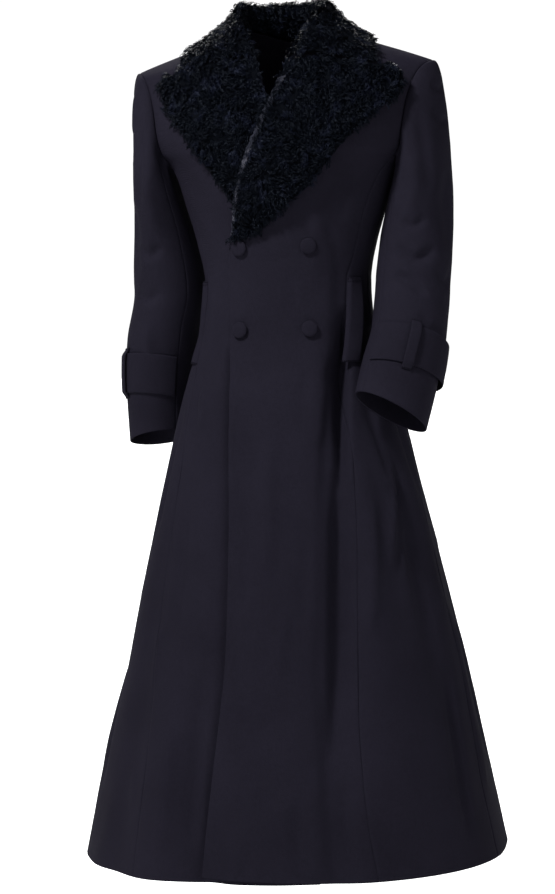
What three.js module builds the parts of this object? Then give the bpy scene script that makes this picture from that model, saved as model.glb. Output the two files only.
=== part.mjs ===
// Full-length double-breasted overcoat with a fur collar and fur lapels, worn and hollow.
// Millimetres. X points to the wearer's left, -Y is the front, +Z is up.
// The origin is on the middle plane at the base of the neck, level with the neck points of the shoulders.

import * as THREE from "three";

// Cloth, fur and the spaces between sewn pieces.
const CLOTH = 2.4;
const FUR = 12;
const SEAM = 0.6;

// Levels.
const CHEST = -226;
const HEM_MIDDLE = -1438;
const HEM_TILT = 8;
const HEM_CORNER_RISE = 10;

// Shoulders and neck.
const RIDGE_Y = 8;
const NECK_X = 85;
const TIP_X = 262;
const GORGE_X = 32;
const FRONT_NECK_ARC = 45;
const BACK_NECK_ARC = 57;

// Fastening.
const BUTTON_RADIUS = 14;
const BUTTON_HEIGHT = 6;
const BUTTONS = [
  { name: "button_upper_left", x: 59.5, z: -379, shank: 0.7 },
  { name: "button_upper_right", x: -59.5, z: -379, shank: 1.2 },
  { name: "button_lower_left", x: 59.5, z: -521, shank: 2.1 },
  { name: "button_lower_right", x: -59.5, z: -521, shank: 2.1 },
];

// Body, as a rounded ring at each level: half width, front depth, back depth, squareness.
const RINGS = [
  { z: 40, half: 305, front: 124, back: 128, power: 2.4 },
  { z: -62, half: 287, front: 124, back: 128, power: 2.4 },
  { z: -89, half: 264, front: 124, back: 128, power: 2.4 },
  { z: -112, half: 254, front: 124, back: 128, power: 2.4 },
  { z: -141, half: 246, front: 124, back: 128, power: 2.4 },
  { z: -174, half: 240, front: 124, back: 128, power: 2.4 },
  { z: -212, half: 221, front: 124, back: 128, power: 2.4 },
  { z: -226, half: 206, front: 124, back: 128, power: 2.4 },
  { z: -240, half: 197, front: 123, back: 127, power: 2.35 },
  { z: -300, half: 178, front: 117, back: 120, power: 2.3 },
  { z: -370, half: 157, front: 108, back: 112, power: 2.3 },
  { z: -430, half: 146, front: 105, back: 114, power: 2.3 },
  { z: -520, half: 153, front: 111, back: 124, power: 2.3 },
  { z: -580, half: 172, front: 125, back: 140, power: 2.3 },
  { z: -650, half: 192, front: 144, back: 160, power: 2.3 },
  { z: -750, half: 217, front: 170, back: 184, power: 2.25 },
  { z: -900, half: 252, front: 203, back: 215, power: 2.2 },
  { z: -1100, half: 296, front: 240, back: 250, power: 2.2 },
  { z: -1300, half: 337, front: 271, back: 282, power: 2.2 },
  { z: -1460, half: 371, front: 292, back: 302, power: 2.2 },
];

// Height of the shoulder line at each distance from the middle plane.
const SHOULDER = [
  { x: 0, z: 30 },
  { x: 85, z: 0 },
  { x: 160, z: -27 },
  { x: 262, z: -62 },
  { x: 300, z: -78 },
];

// Armhole: distance from the middle plane at each level, on the front and on the back.
const ARMHOLE = [
  { z: -62, front: 262, back: 262 },
  { z: -72, front: 249, back: 253 },
  { z: -89, front: 238, back: 244 },
  { z: -112, front: 229, back: 236 },
  { z: -141, front: 222, back: 230 },
  { z: -174, front: 217, back: 224 },
  { z: -212, front: 210, back: 211 },
  { z: -226, front: 200, back: 200 },
];
const ARMPIT = -240;

// Front edge of the wearer's left front: the fold of the lapel down to the top button, then the overlap.
const FRONT_EDGE = [
  { z: -55, x: 32 },
  { z: -67, x: 26 },
  { z: -128, x: 4 },
  { z: -174, x: -17 },
  { z: -208, x: -33 },
  { z: -242, x: -45 },
  { z: -301, x: -60 },
  { z: -338, x: -68 },
  { z: -378, x: -78 },
  { z: -430, x: -81 },
  { z: -520, x: -80 },
  { z: -680, x: -70 },
  { z: -950, x: -68 },
  { z: -1065, x: -67 },
  { z: -1255, x: -80 },
  { z: -1370, x: -91 },
  { z: -1460, x: -100 },
];

// Curved seam from the armhole over the pocket to the hem, on each side of the front.
const FRONT_SEAM = [
  { z: -226, left: 200, right: 200 },
  { z: -252, left: 179, right: 181 },
  { z: -287, left: 162, right: 165 },
  { z: -328, left: 147, right: 151 },
  { z: -397, left: 129, right: 135 },
  { z: -432, left: 119, right: 131 },
  { z: -560, left: 116, right: 147 },
  { z: -730, left: 136, right: 168 },
  { z: -860, left: 145, right: 185 },
  { z: -1000, left: 150, right: 204 },
  { z: -1180, left: 157, right: 211 },
  { z: -1330, left: 172, right: 225 },
  { z: -1460, left: 196, right: 238 },
];

// Side seam: degrees behind the side of the ring; below zero it runs towards the front.
const SIDE_SEAM = [
  { z: -240, turn: 0 },
  { z: -430, turn: -8 },
  { z: -1460, turn: -9 },
];
const ARMPIT_TURN = 22;

// Flutes of the skirt and the dent under the left cuff. Turn is the bearing in degrees from the
// wearer's left, below zero across the front; depth is outwards in millimetres, spread in degrees.
const FOLDS = [
  { top: -500, topTurn: -50, bottom: -760, bottomTurn: -62, depth: -11, spread: 9, tail: 0 },
  { top: -700, topTurn: -61, bottom: -1460, bottomTurn: -76, depth: -6, spread: 8, tail: 1 },
  { top: -640, topTurn: -90, bottom: -1100, bottomTurn: -88, depth: 5, spread: 8, tail: 0 },
  { top: -700, topTurn: -101, bottom: -1150, bottomTurn: -99, depth: -5, spread: 6, tail: 0 },
  { top: -700, topTurn: -49, bottom: -1200, bottomTurn: -52, depth: 8, spread: 8, tail: 0 },
  { top: -640, topTurn: -36, bottom: -1040, bottomTurn: -34, depth: 7, spread: 5, tail: 0 },
  { top: -660, topTurn: -28, bottom: -1200, bottomTurn: -26, depth: -6, spread: 5, tail: 0 },
  { top: -640, topTurn: -12, bottom: -1300, bottomTurn: -14, depth: 8, spread: 9, tail: 0 },
  { top: -1000, topTurn: -112, bottom: -1460, bottomTurn: -106, depth: -7, spread: 7, tail: 1 },
  { top: -1050, topTurn: -124, bottom: -1460, bottomTurn: -122, depth: 6, spread: 8, tail: 1 },
  { top: -620, topTurn: -136, bottom: -1460, bottomTurn: -140, depth: -7, spread: 8, tail: 1 },
  { top: -640, topTurn: 152, bottom: -1460, bottomTurn: 150, depth: 12, spread: 11, tail: 1 },
  { top: -600, topTurn: 130, bottom: -1460, bottomTurn: 128, depth: -12, spread: 10, tail: 1 },
  { top: -600, topTurn: 108, bottom: -1460, bottomTurn: 107, depth: 13, spread: 11, tail: 1 },
  { top: -560, topTurn: 89, bottom: -1460, bottomTurn: 88, depth: -9, spread: 8, tail: 1 },
  { top: -620, topTurn: 69, bottom: -1460, bottomTurn: 66, depth: 13, spread: 11, tail: 1 },
  { top: -640, topTurn: 47, bottom: -1460, bottomTurn: 44, depth: -11, spread: 10, tail: 1 },
  { top: -700, topTurn: 24, bottom: -1460, bottomTurn: 22, depth: 10, spread: 10, tail: 1 },
  { top: -560, topTurn: -40, bottom: -740, bottomTurn: -42, depth: -9, spread: 14, tail: 0 },
];

// Lapels: outer edge from the peak to the top button, on the upper and on the lower front.
const LAPEL_EDGE = [
  { z: -90, over: 215, under: 212 },
  { z: -112, over: 213, under: 200 },
  { z: -145, over: 189, under: 186 },
  { z: -169, over: 162, under: 164 },
  { z: -198, over: 131, under: 142 },
  { z: -231, over: 101, under: 119 },
  { z: -260, over: 77, under: 95 },
  { z: -285, over: 55, under: 74 },
  { z: -308, over: 26, under: 60 },
  { z: -330, over: 2, under: 54 },
  { z: -352, over: -28, under: 50 },
  { z: -364, over: -52, under: 48 },
];
const PEAK_LIFT = 13;

// Collar: fold and outer edge of the falling leaf, from the middle of the back to the notch.
// The edge lies on the shoulders; x and arc place it there, arc being degrees up the shoulder.
const COLLAR = [
  { way: 0, foldX: 0, foldY: 62, foldZ: 46, edgeX: 0, edgeArc: 40 },
  { way: 0.17, foldX: 36, foldY: 56, foldZ: 46, edgeX: 62, edgeArc: 45 },
  { way: 0.34, foldX: 64, foldY: 36, foldZ: 45, edgeX: 122, edgeArc: 55 },
  { way: 0.42, foldX: 72, foldY: 22, foldZ: 43, edgeX: 143, edgeArc: 67 },
  { way: 0.5, foldX: 77, foldY: 8, foldZ: 41, edgeX: 154, edgeArc: 90 },
  { way: 0.66, foldX: 74, foldY: -26, foldZ: 27, edgeX: 163, edgeArc: 74 },
  { way: 0.83, foldX: 56, foldY: -62, foldZ: -16, edgeX: 169, edgeArc: 62 },
  { way: 1, foldX: 33, foldY: -90, foldZ: -54, edgeX: 173, edgeArc: 52 },
];

// Sleeves, as a slanted oval at each level. The slants are the drop per millimetre outwards
// and per millimetre towards the back; outwards is away from the body.
const SLEEVE_LEFT = [
  { x: 236, y: 8, z: -285, half: 55, depth: 79, slantOut: -0.12, slantBack: 0 },
  { x: 230, y: 4, z: -350, half: 62, depth: 75, slantOut: -0.05, slantBack: 0 },
  { x: 224.5, y: -16, z: -440, half: 64.5, depth: 70, slantOut: 0.05, slantBack: 0.12 },
  { x: 223.5, y: -62, z: -530, half: 64, depth: 63, slantOut: 0.12, slantBack: 0.35 },
  { x: 213.5, y: -104, z: -600, half: 63, depth: 58, slantOut: 0.3, slantBack: 0.45 },
  { x: 204, y: -142, z: -662, half: 60, depth: 54, slantOut: 0.45, slantBack: 0.45 },
];
const SLEEVE_RIGHT = [
  { x: 230, y: 10, z: -285, half: 46, depth: 79, slantOut: -0.12, slantBack: 0 },
  { x: 225.5, y: 26, z: -350, half: 57, depth: 75, slantOut: -0.05, slantBack: 0 },
  { x: 224, y: 44, z: -440, half: 66, depth: 69, slantOut: 0, slantBack: 0 },
  { x: 243, y: 56, z: -530, half: 66, depth: 65, slantOut: 0.02, slantBack: 0.05 },
  { x: 256, y: 74, z: -630, half: 62, depth: 61, slantOut: 0.08, slantBack: 0.15 },
  { x: 259, y: 84, z: -710, half: 58, depth: 57, slantOut: 0.16, slantBack: 0.22 },
];
// How close the inner side of a sleeve hangs to the body.
const HUG = 3;
// Seams of the sleeves, in degrees from the outer side by way of the front.
const SLEEVE_FRONT_SEAM = 131;
const SLEEVE_BACK_SEAM = -112;

// Cuff straps and their loops; rim is the distance up from the edge of the cuff.
const STRAP_RIM = 70;
const STRAP_RISE = 16;
const STRAP_WIDTH = 73;
const STRAP_LIFT = 1.4;
const LOOP_WIDTH = 15;
const LOOP_LENGTH = 93;
const CUFFS = [
  { side: 1, name: "left", loopTurn: 69, slack: 6, slackTurn: -14 },
  { side: -1, name: "right", loopTurn: 32, slack: 2, slackTurn: -40 },
];

// Pocket welts.
const POCKET_TOP = -434;
const POCKET_BOTTOM = -578;
const WELT_WIDTH = 40;

// ---------------------------------------------------------------- reading the tables

function slope(rows, by, column, i) {
  const last = rows.length - 1;
  const a = rows[Math.max(i - 1, 0)];
  const b = rows[i];
  const c = rows[Math.min(i + 1, last)];
  if (i === 0) return (c[column] - b[column]) / (c[by] - b[by]);
  const before = (b[column] - a[column]) / (b[by] - a[by]);
  if (i === last) return before;
  const after = (c[column] - b[column]) / (c[by] - b[by]);
  return before * after <= 0 ? 0 : (2 * before * after) / (before + after);
}

// One column of a table at any value of another, by a smooth curve through the rows.
function read(rows, by, value, column) {
  const last = rows.length - 1;
  const rising = rows[last][by] > rows[0][by];
  let i = 0;
  while (i < last - 1 && (rising ? value > rows[i + 1][by] : value < rows[i + 1][by])) i += 1;
  const a = rows[i];
  const b = rows[i + 1];
  const run = b[by] - a[by];
  const t = (value - a[by]) / run;
  if (t <= 0) return a[column] + slope(rows, by, column, i) * (value - a[by]);
  if (t >= 1) return b[column] + slope(rows, by, column, i + 1) * (value - b[by]);
  const ma = slope(rows, by, column, i) * run;
  const mb = slope(rows, by, column, i + 1) * run;
  const t2 = t * t;
  const t3 = t2 * t;
  const start = (2 * t3 - 3 * t2 + 1) * a[column] + (t3 - 2 * t2 + t) * ma;
  return start + (3 * t2 - 2 * t3) * b[column] + (t3 - t2) * mb;
}

const mix = (a, b, t) => a + (b - a) * t;
const radians = (degrees) => (degrees * Math.PI) / 180;
const degrees = (angle) => (angle * 180) / Math.PI;
const power = (v, p) => Math.sign(v) * Math.abs(v) ** p;
const vec = (x, y, z) => new THREE.Vector3(x, y, z);

function ease(t) {
  const s = Math.min(1, Math.max(0, t));
  return s * s * (3 - 2 * s);
}

// ---------------------------------------------------------------- surface of the body

function foldDepth(turn, z) {
  let depth = 0;
  for (const fold of FOLDS) {
    const way = (fold.top - z) / (fold.top - fold.bottom);
    if (way <= 0 || (way >= 1 && fold.tail === 0)) continue;
    const centre = mix(fold.topTurn, fold.bottomTurn, way);
    const off = ((turn - centre + 540) % 360) - 180;
    const strength = fold.tail ? ease(way * 1.6) : Math.sin(Math.PI * way);
    depth += fold.depth * strength * Math.exp(-((off / fold.spread) ** 2));
  }
  return depth;
}

// Point of the cloth's outer face at a bearing and a level.
function ring(turn, z) {
  const half = read(RINGS, "z", z, "half");
  const squareness = 2 / read(RINGS, "z", z, "power");
  const c = Math.cos(radians(turn));
  const s = Math.sin(radians(turn));
  const x = half * power(c, squareness);
  let y = read(RINGS, "z", z, s < 0 ? "front" : "back") * power(s, squareness);
  if (z > CHEST) {
    const ridge = read(SHOULDER, "x", Math.abs(x), "z");
    const rise = Math.min(1, (z - CHEST) / (ridge - CHEST));
    y = RIDGE_Y + (y - RIDGE_Y) * Math.sqrt(1 - rise * rise);
  }
  const fold = foldDepth(turn, z);
  return vec(x + c * fold, y + s * fold, z);
}

// Bearing of the point of the ring that stands x from the middle plane, on the front or the back.
function bearing(x, z, face) {
  const ratio = Math.min(1, Math.abs(x) / read(RINGS, "z", z, "half"));
  const c = ratio ** (read(RINGS, "z", z, "power") / 2);
  return face * degrees(Math.acos(Math.sign(x) * c));
}

// Point of the chest or the upper back, x from the middle plane and arc degrees up the shoulder.
function arch(x, arc, face) {
  const ridge = read(SHOULDER, "x", Math.abs(x), "z");
  const z = CHEST + (ridge - CHEST) * Math.sin(radians(arc));
  const shape = read(RINGS, "z", z, "power");
  const ratio = Math.min(1, Math.abs(x) / read(RINGS, "z", z, "half"));
  const reach = read(RINGS, "z", z, face < 0 ? "front" : "back");
  const y = face * reach * (1 - ratio ** shape) ** (1 / shape);
  return vec(x, RIDGE_Y + (y - RIDGE_Y) * Math.cos(radians(arc)), z);
}

const archOf = (x, z) => {
  const ridge = read(SHOULDER, "x", Math.abs(x), "z");
  return degrees(Math.asin(Math.min(1, (z - CHEST) / (ridge - CHEST))));
};

// A point and the outward direction there, moved outwards by lift.
function sample(surface, a, b, stepA, stepB, lift) {
  const point = surface(a, b);
  const alongA = surface(a + stepA, b).sub(surface(a - stepA, b));
  const alongB = surface(a, b + stepB).sub(surface(a, b - stepB));
  const normal = alongA.cross(alongB).normalize();
  const inside = vec(point.x * 0.6, RIDGE_Y, Math.min(point.z, -140) - 60);
  if (point.z < CHEST) inside.z = point.z;
  if (normal.dot(point.clone().sub(inside)) < 0) normal.negate();
  return { point: point.addScaledVector(normal, lift), normal };
}

const onRing = (turn, z, lift = 0) => sample(ring, turn, z, 0.4, 1, lift);
const onArch = (x, arc, face, lift = 0) => sample((a, b) => arch(a, b, face), x, arc, 0.5, 0.5, lift);

// A place on the front given by x and level.
function onFront(x, z, lift = 0) {
  if (z <= CHEST) return onRing(bearing(x, z, -1), z, lift);
  return onArch(x, archOf(x, z), -1, lift);
}

// ---------------------------------------------------------------- making solids

// Closed wall between two equal grids of points.
function solidBetween(outer, inner) {
  const rows = outer.length;
  const columns = outer[0].length;
  const layer = rows * columns;
  const positions = [];
  for (const grid of [outer, inner]) {
    for (const row of grid) {
      for (const p of row) positions.push(p.x, p.y, p.z);
    }
  }
  const faces = [];
  const quad = (a, b, c, d) => faces.push(a, b, c, a, c, d);
  const at = (r, c) => r * columns + c;
  for (let r = 0; r < rows - 1; r += 1) {
    for (let c = 0; c < columns - 1; c += 1) {
      quad(at(r, c), at(r, c + 1), at(r + 1, c + 1), at(r + 1, c));
      quad(layer + at(r, c), layer + at(r + 1, c), layer + at(r + 1, c + 1), layer + at(r, c + 1));
    }
  }
  for (let c = 0; c < columns - 1; c += 1) {
    quad(at(0, c + 1), at(0, c), layer + at(0, c), layer + at(0, c + 1));
    const r = rows - 1;
    quad(at(r, c), at(r, c + 1), layer + at(r, c + 1), layer + at(r, c));
  }
  for (let r = 0; r < rows - 1; r += 1) {
    quad(at(r, 0), at(r + 1, 0), layer + at(r + 1, 0), layer + at(r, 0));
    const c = columns - 1;
    quad(at(r + 1, c), at(r, c), layer + at(r, c), layer + at(r + 1, c));
  }
  return outward(positions, faces);
}

// Geometry with its faces turned outwards.
function outward(positions, faces) {
  const corner = (i) => vec(positions[3 * i], positions[3 * i + 1], positions[3 * i + 2]);
  let volume = 0;
  for (let i = 0; i < faces.length; i += 3) {
    const [a, b, c] = [corner(faces[i]), corner(faces[i + 1]), corner(faces[i + 2])];
    volume += a.dot(b.cross(c));
  }
  if (volume < 0) {
    for (let i = 0; i < faces.length; i += 3) {
      [faces[i + 1], faces[i + 2]] = [faces[i + 2], faces[i + 1]];
    }
  }
  const geometry = new THREE.BufferGeometry();
  geometry.setAttribute("position", new THREE.Float32BufferAttribute(positions, 3));
  geometry.setIndex(faces);
  geometry.computeVertexNormals();
  return geometry;
}

// Wall of a piece from its samples: the outer face on the points, the inner one behind them.
function wall(samples, thickness) {
  const trimmed = trim(samples, SEAM / 2);
  const outer = trimmed.map((row) => row.map((s) => s.point.clone()));
  const inner = trimmed.map((row, r) =>
    row.map((s, c) => {
      const t = typeof thickness === "function" ? thickness(r, c) : thickness;
      return s.point.clone().addScaledVector(s.normal, -t);
    }),
  );
  return solidBetween(outer, inner);
}

// The edge of a piece drawn in by half the space at a seam.
function trim(samples, inset) {
  const rows = samples.length;
  const columns = samples[0].length;
  const toward = (s, next) => {
    const step = next.point.clone().sub(s.point);
    return step.setLength(Math.min(inset, step.length() / 2));
  };
  return samples.map((row, r) =>
    row.map((s, c) => {
      const point = s.point.clone();
      if (c === 0) point.add(toward(s, row[1]));
      if (c === columns - 1) point.add(toward(s, row[c - 1]));
      if (r === 0) point.add(toward(s, samples[1][c]));
      if (r === rows - 1) point.add(toward(s, samples[r - 1][c]));
      return { point, normal: s.normal };
    }),
  );
}

const steps = (from, to, count) => Array.from({ length: count + 1 }, (_, i) => mix(from, to, i / count));

const wool = new THREE.MeshStandardMaterial({ color: 0x16151c, roughness: 0.85, side: THREE.DoubleSide });
const fur = new THREE.MeshStandardMaterial({ color: 0x08090f, roughness: 0.6 });
const coat = new THREE.Group();
coat.name = "overcoat";

function add(name, geometry, material) {
  const mesh = new THREE.Mesh(geometry, material);
  mesh.name = name;
  coat.add(mesh);
}

// ---------------------------------------------------------------- body panels

const ROWS_UP = 8;
const ROWS_DOWN = 24;
const WIDE = 10;
const NARROW = 6;

// Level of the hem at a bearing: the left side hangs a little higher than the right.
const hem = (turn) => HEM_MIDDLE + HEM_TILT * Math.cos(radians(turn));

// Ways down a panel below the armhole, closer together at the waist.
const WAYS_DOWN = steps(0, 1, ROWS_DOWN).map((t) => t ** 1.15);

const frontEdge = (side, z) => side * read(FRONT_EDGE, "z", z, "x");
const edgeTurn = (side, z) => bearing(frontEdge(side, z), z, -1);
const frontSeam = (side, z) => side * read(FRONT_SEAM, "z", z, side > 0 ? "left" : "right");
const seamTurn = (side, z) => bearing(frontSeam(side, z), z, -1);
const frontPlace = (side, u, z) => mix(edgeTurn(side, z), seamTurn(side, z), u);
const mirrored = (side, turn) => (side > 0 ? turn : 180 - turn);

// How far the upper front stands out over the lower one, and away from it at the edge.
function overLift(x, z) {
  const fromEdge = x - read(FRONT_EDGE, "z", z, "x");
  const overlap = 1 - ease((fromEdge - 6 + 2 * read(FRONT_EDGE, "z", z, "x")) / 22);
  const lapel = ease((z + 352) / 60) * (1 - ease((z + 150) / 60));
  const gapes = 7 * ease((-580 - z) / 70) * (1 - ease((-680 - z) / 200));
  const swing = 14 * ease((-900 - z) / 500);
  const edge = (lapel * 8 + gapes + swing) * (1 - ease(fromEdge / 120));
  return 4.8 * overlap + edge;
}

// Edges of the yoke of a panel, in x and arc: the front or back neck, then the shoulder seam.
function shoulderLine(t, start, startArc) {
  if (t < 0.3) return [mix(start, NECK_X, t / 0.3), mix(startArc, 90, (t / 0.3) ** 1.4)];
  return [mix(NECK_X, TIP_X, (t - 0.3) / 0.7), 90];
}

// Point of a four-sided patch from its edges, each a function that gives x and arc.
function patch(u, v, bottom, top, left, right) {
  const corners = [bottom(0), bottom(1), top(0), top(1)];
  return [0, 1].map((k) => {
    const across = (1 - u) * left(v)[k] + u * right(v)[k];
    const up = (1 - v) * bottom(u)[k] + v * top(u)[k];
    const low = (1 - u) * corners[0][k] + u * corners[1][k];
    const high = (1 - u) * corners[2][k] + u * corners[3][k];
    return across + up - (1 - v) * low - v * high;
  });
}

function armholeEdge(v, face) {
  const z = mix(CHEST, ARMHOLE[0].z, Math.sin(radians(90 * v)));
  const x = v === 1 ? TIP_X : read(ARMHOLE, "z", z, face < 0 ? "front" : "back");
  return [x, v === 1 ? 90 : archOf(x, z)];
}

function frontPanel(side) {
  const lift = (x, z) => (side > 0 ? overLift(x, z) : 0);
  const yoke = steps(1, 0, ROWS_UP).map((v) =>
    steps(0, 1, WIDE).map((u) => {
      const low = (t) => {
        const turn = mix(bearing(frontEdge(1, CHEST), CHEST, -1), bearing(200, CHEST, -1), t);
        return [ring(turn, CHEST).x, 0];
      };
      const roll = (t) => {
        const z = mix(CHEST, FRONT_EDGE[0].z, t);
        const x = frontEdge(1, z);
        return [x, archOf(x, z)];
      };
      const top = (t) => shoulderLine(t, GORGE_X, FRONT_NECK_ARC);
      const [x, arc] = patch(u, v, low, top, roll, (t) => armholeEdge(t, -1));
      const z = arch(x, arc, -1).z;
      return onArch(side * x, arc, -1, lift(x, z));
    }),
  );
  const skirt = WAYS_DOWN.slice(1).map((v) =>
    steps(0, 1, WIDE).map((u) => {
      const guess = mix(CHEST, HEM_MIDDLE, v);
      const corner = side > 0 ? HEM_CORNER_RISE * (1 - u) ** 2 : 0;
      const z = mix(CHEST, hem(frontPlace(side, u, guess)) + corner, v);
      const turn = frontPlace(side, u, z);
      return onRing(turn, z, lift(ring(turn, z).x, z));
    }),
  );
  return wall([...yoke, ...skirt], CLOTH);
}

function backPanel(side) {
  const yoke = steps(1, 0, ROWS_UP).map((v) =>
    steps(0, 1, WIDE).map((u) => {
      const low = (t) => [ring(mix(90, ARMPIT_TURN, t), CHEST).x, 0];
      const top = (t) => shoulderLine(t, 0, BACK_NECK_ARC);
      const middle = (t) => [0, mix(0, BACK_NECK_ARC, t)];
      const [x, arc] = patch(u, v, low, top, middle, (t) => armholeEdge(t, 1));
      return onArch(side * x, arc, 1);
    }),
  );
  const skirt = WAYS_DOWN.map((v) =>
    steps(0, 1, WIDE).map((u) => {
      const bottom = hem(mirrored(side, mix(90, read(SIDE_SEAM, "z", HEM_MIDDLE, "turn"), u)));
      const z = mix(ARMPIT, bottom, v);
      return onRing(mirrored(side, mix(90, read(SIDE_SEAM, "z", z, "turn"), u)), z);
    }),
  );
  return wall([...yoke, ...skirt], CLOTH);
}

// Bearing on a side panel: across from the front seam to the side seam.
function sidePlace(side, u, z) {
  const back = mirrored(side, read(SIDE_SEAM, "z", Math.min(z, ARMPIT), "turn"));
  return mix(seamTurn(side, z), side > 0 ? back : back - 360, u);
}

function sidePanel(side) {
  return wall(
    steps(0, 1, ROWS_DOWN).map((v) =>
      steps(0, 1, NARROW).map((u) => {
        const bottom = hem(sidePlace(side, u, HEM_MIDDLE));
        const z = mix(mix(CHEST, ARMPIT, ease(u * 1.4)), bottom, v ** 1.15);
        return onRing(sidePlace(side, u, z), z);
      }),
    ),
    CLOTH,
  );
}

add("front_left", frontPanel(1), wool);
add("front_right", frontPanel(-1), wool);
add("side_left", sidePanel(1), wool);
add("side_right", sidePanel(-1), wool);
add("back_left", backPanel(1), wool);
add("back_right", backPanel(-1), wool);

// ---------------------------------------------------------------- lapels

// Rows run from the peak down to the top button, columns from the fold out to the edge.
function lapel(side) {
  const over = side > 0;
  const rows = 12;
  const columns = 8;
  const bottom = over ? -362 : -325;
  const samples = steps(0, 1, rows).map((v) =>
    steps(0, 1, columns).map((u) => {
      const foldZ = mix(-64, bottom, v);
      const edgeZ = mix(-92, bottom + 4, v ** 1.1);
      const foldX = read(FRONT_EDGE, "z", foldZ, "x") + 1.5;
      const inner = over ? foldX : Math.max(foldX, -foldX - 22);
      const outer = read(LAPEL_EDGE, "z", edgeZ, over ? "over" : "under");
      const x = mix(inner, Math.max(outer, inner + 10), u);
      const peak = PEAK_LIFT * Math.sin(Math.PI * ease((u - 0.78) / 0.22)) * (1 - v) ** 6;
      const z = mix(foldZ, edgeZ, u) + peak;
      const base = over ? overLift(x, z) + 2 : 1.4;
      const hidden = over ? 0 : 1 - ease((x + foldX - 4) / 24);
      const body = mix(4, FUR, Math.sin(Math.PI * Math.min(0.5, 0.1 + 2.2 * Math.min(u, 1 - u, 0.2))));
      const thickness = mix(body, 4, hidden) * mix(1, 0.5, ease((v - 0.85) / 0.15));
      const place = onFront(side * x, z, base + thickness);
      return { point: place.point, normal: place.normal, thickness };
    }),
  );
  const flat = samples.map((row) => row.map((s) => s.thickness));
  return wall(samples, (r, c) => flat[r][c]);
}

add("lapel_left", lapel(1), fur);
add("lapel_right", lapel(-1), fur);

// ---------------------------------------------------------------- collar

// Section of the collar: up the stand inside the neck, over the fold, down the leaf to its edge.
function collarSection(way) {
  const side = way < 0 ? -1 : 1;
  const along = Math.abs(way);
  const get = (column) => read(COLLAR, "way", along, column);
  const fold = vec(side * get("foldX"), get("foldY"), get("foldZ"));
  const face = along > 0.5 ? -1 : 1;
  const lie = side > 0 ? 3.7 + 3 * ease((along - 0.7) / 0.1) : 3.7;
  const edge = onArch(side * get("edgeX"), get("edgeArc"), face, lie).point;
  const t = along < 0.5 ? along / 0.5 : (1 - along) / 0.5;
  const seamX = along < 0.5 ? mix(0, NECK_X - 4, t) : mix(GORGE_X - 2, NECK_X - 4, t);
  const neckArc = along < 0.5 ? BACK_NECK_ARC : FRONT_NECK_ARC;
  const seamArc = Math.min(90, mix(neckArc, 90, t ** 1.4) + 2.5);
  const seam = onArch(side * seamX, seamArc, face).point;
  const outwards = vec(edge.x - fold.x, edge.y - fold.y, 0).normalize();
  const stand = seam.clone().addScaledVector(outwards, -2);
  if (along > 0.9) stand.lerp(fold, ease((along - 0.9) / 0.1) * 0.6);
  const leaf = (w) => {
    const x = mix(side * seamX, side * get("edgeX"), w);
    const arc = mix(seamArc, get("edgeArc"), w);
    const resting = onArch(x, arc, face, lie + 14 * (1 - w) ** 2).point;
    return fold.clone().lerp(resting, ease(w / 0.6));
  };
  const turnIn = fold.clone().addScaledVector(outwards, -5).add(vec(0, 0, -4));
  const upper = fold.clone().lerp(stand, 0.5).addScaledVector(outwards, -4);
  return [stand, upper, turnIn, fold, leaf(0.14), leaf(0.34), leaf(0.56), leaf(0.78), leaf(1)];
}

function collar() {
  const count = 28;
  const under = steps(-1, 1, count).map((way) => collarSection(way));
  const samples = under.map((row, r) =>
    row.map((p, c) => {
      const next = under[Math.min(r + 1, count)][c].clone().sub(under[Math.max(r - 1, 0)][c]);
      const across = row[Math.min(c + 1, 8)].clone().sub(row[Math.max(c - 1, 0)]);
      return { point: p, normal: next.cross(across).normalize() };
    }),
  );
  const middle = samples[count / 2][6].normal.y > 0 ? 1 : -1;
  const trimmed = trim(samples, 0.8);
  const thickness = [4, 8, 11, FUR, FUR, FUR, FUR, 11, 5];
  const lower = trimmed.map((row) => row.map((s) => s.point));
  const upper = trimmed.map((row, r) =>
    row.map((s, c) => {
      const ends = mix(0.45, 1, ease((1 - Math.abs((2 * r) / count - 1)) * 7));
      return s.point.clone().addScaledVector(s.normal, middle * thickness[c] * ends);
    }),
  );
  return solidBetween(upper, lower);
}

add("collar", collar(), fur);

// ---------------------------------------------------------------- sleeves

// Place on the armhole in order of the sleeve's own turn: 0 at the tip, 180 at the armpit.
function armholePoint(side, turn) {
  const face = turn >= 0 ? -1 : 1;
  const way = Math.abs(turn) / 180;
  const path = [];
  for (const v of steps(1, 0, 12)) {
    const [x, arc] = armholeEdge(v, face);
    path.push(onArch(side * x, arc, face));
  }
  for (const t of [0.5, 1]) {
    const z = mix(CHEST, ARMPIT, ease(t * 1.4));
    const front = bearing(200, CHEST, -1);
    const start = face < 0 ? front : ARMPIT_TURN;
    const turnHere = mix(start, 0, t);
    path.push(onRing(mirrored(side, turnHere), z));
  }
  let length = 0;
  const lengths = path.map((p, i) => {
    length += i === 0 ? 0 : p.point.distanceTo(path[i - 1].point);
    return length;
  });
  const target = way * length;
  let i = 1;
  while (i < path.length - 1 && lengths[i] < target) i += 1;
  const t = (target - lengths[i - 1]) / (lengths[i] - lengths[i - 1]);
  const point = path[i - 1].point.clone().lerp(path[i].point, t);
  return { point, normal: path[i - 1].normal.clone().lerp(path[i].normal, t).normalize() };
}

function sleeveRing(side, turn, down) {
  const rows = side > 0 ? SLEEVE_LEFT : SLEEVE_RIGHT;
  const table = rows.map((row, i) => ({ ...row, i }));
  const get = (column) => read(table, "i", down * (rows.length - 1), column);
  const out = get("half") * Math.cos(radians(turn));
  const back = -get("depth") * Math.sin(radians(turn));
  const drop = get("slantOut") * out + get("slantBack") * back;
  return vec(side * (get("x") + out), get("y") + back, get("z") - drop);
}

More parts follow.
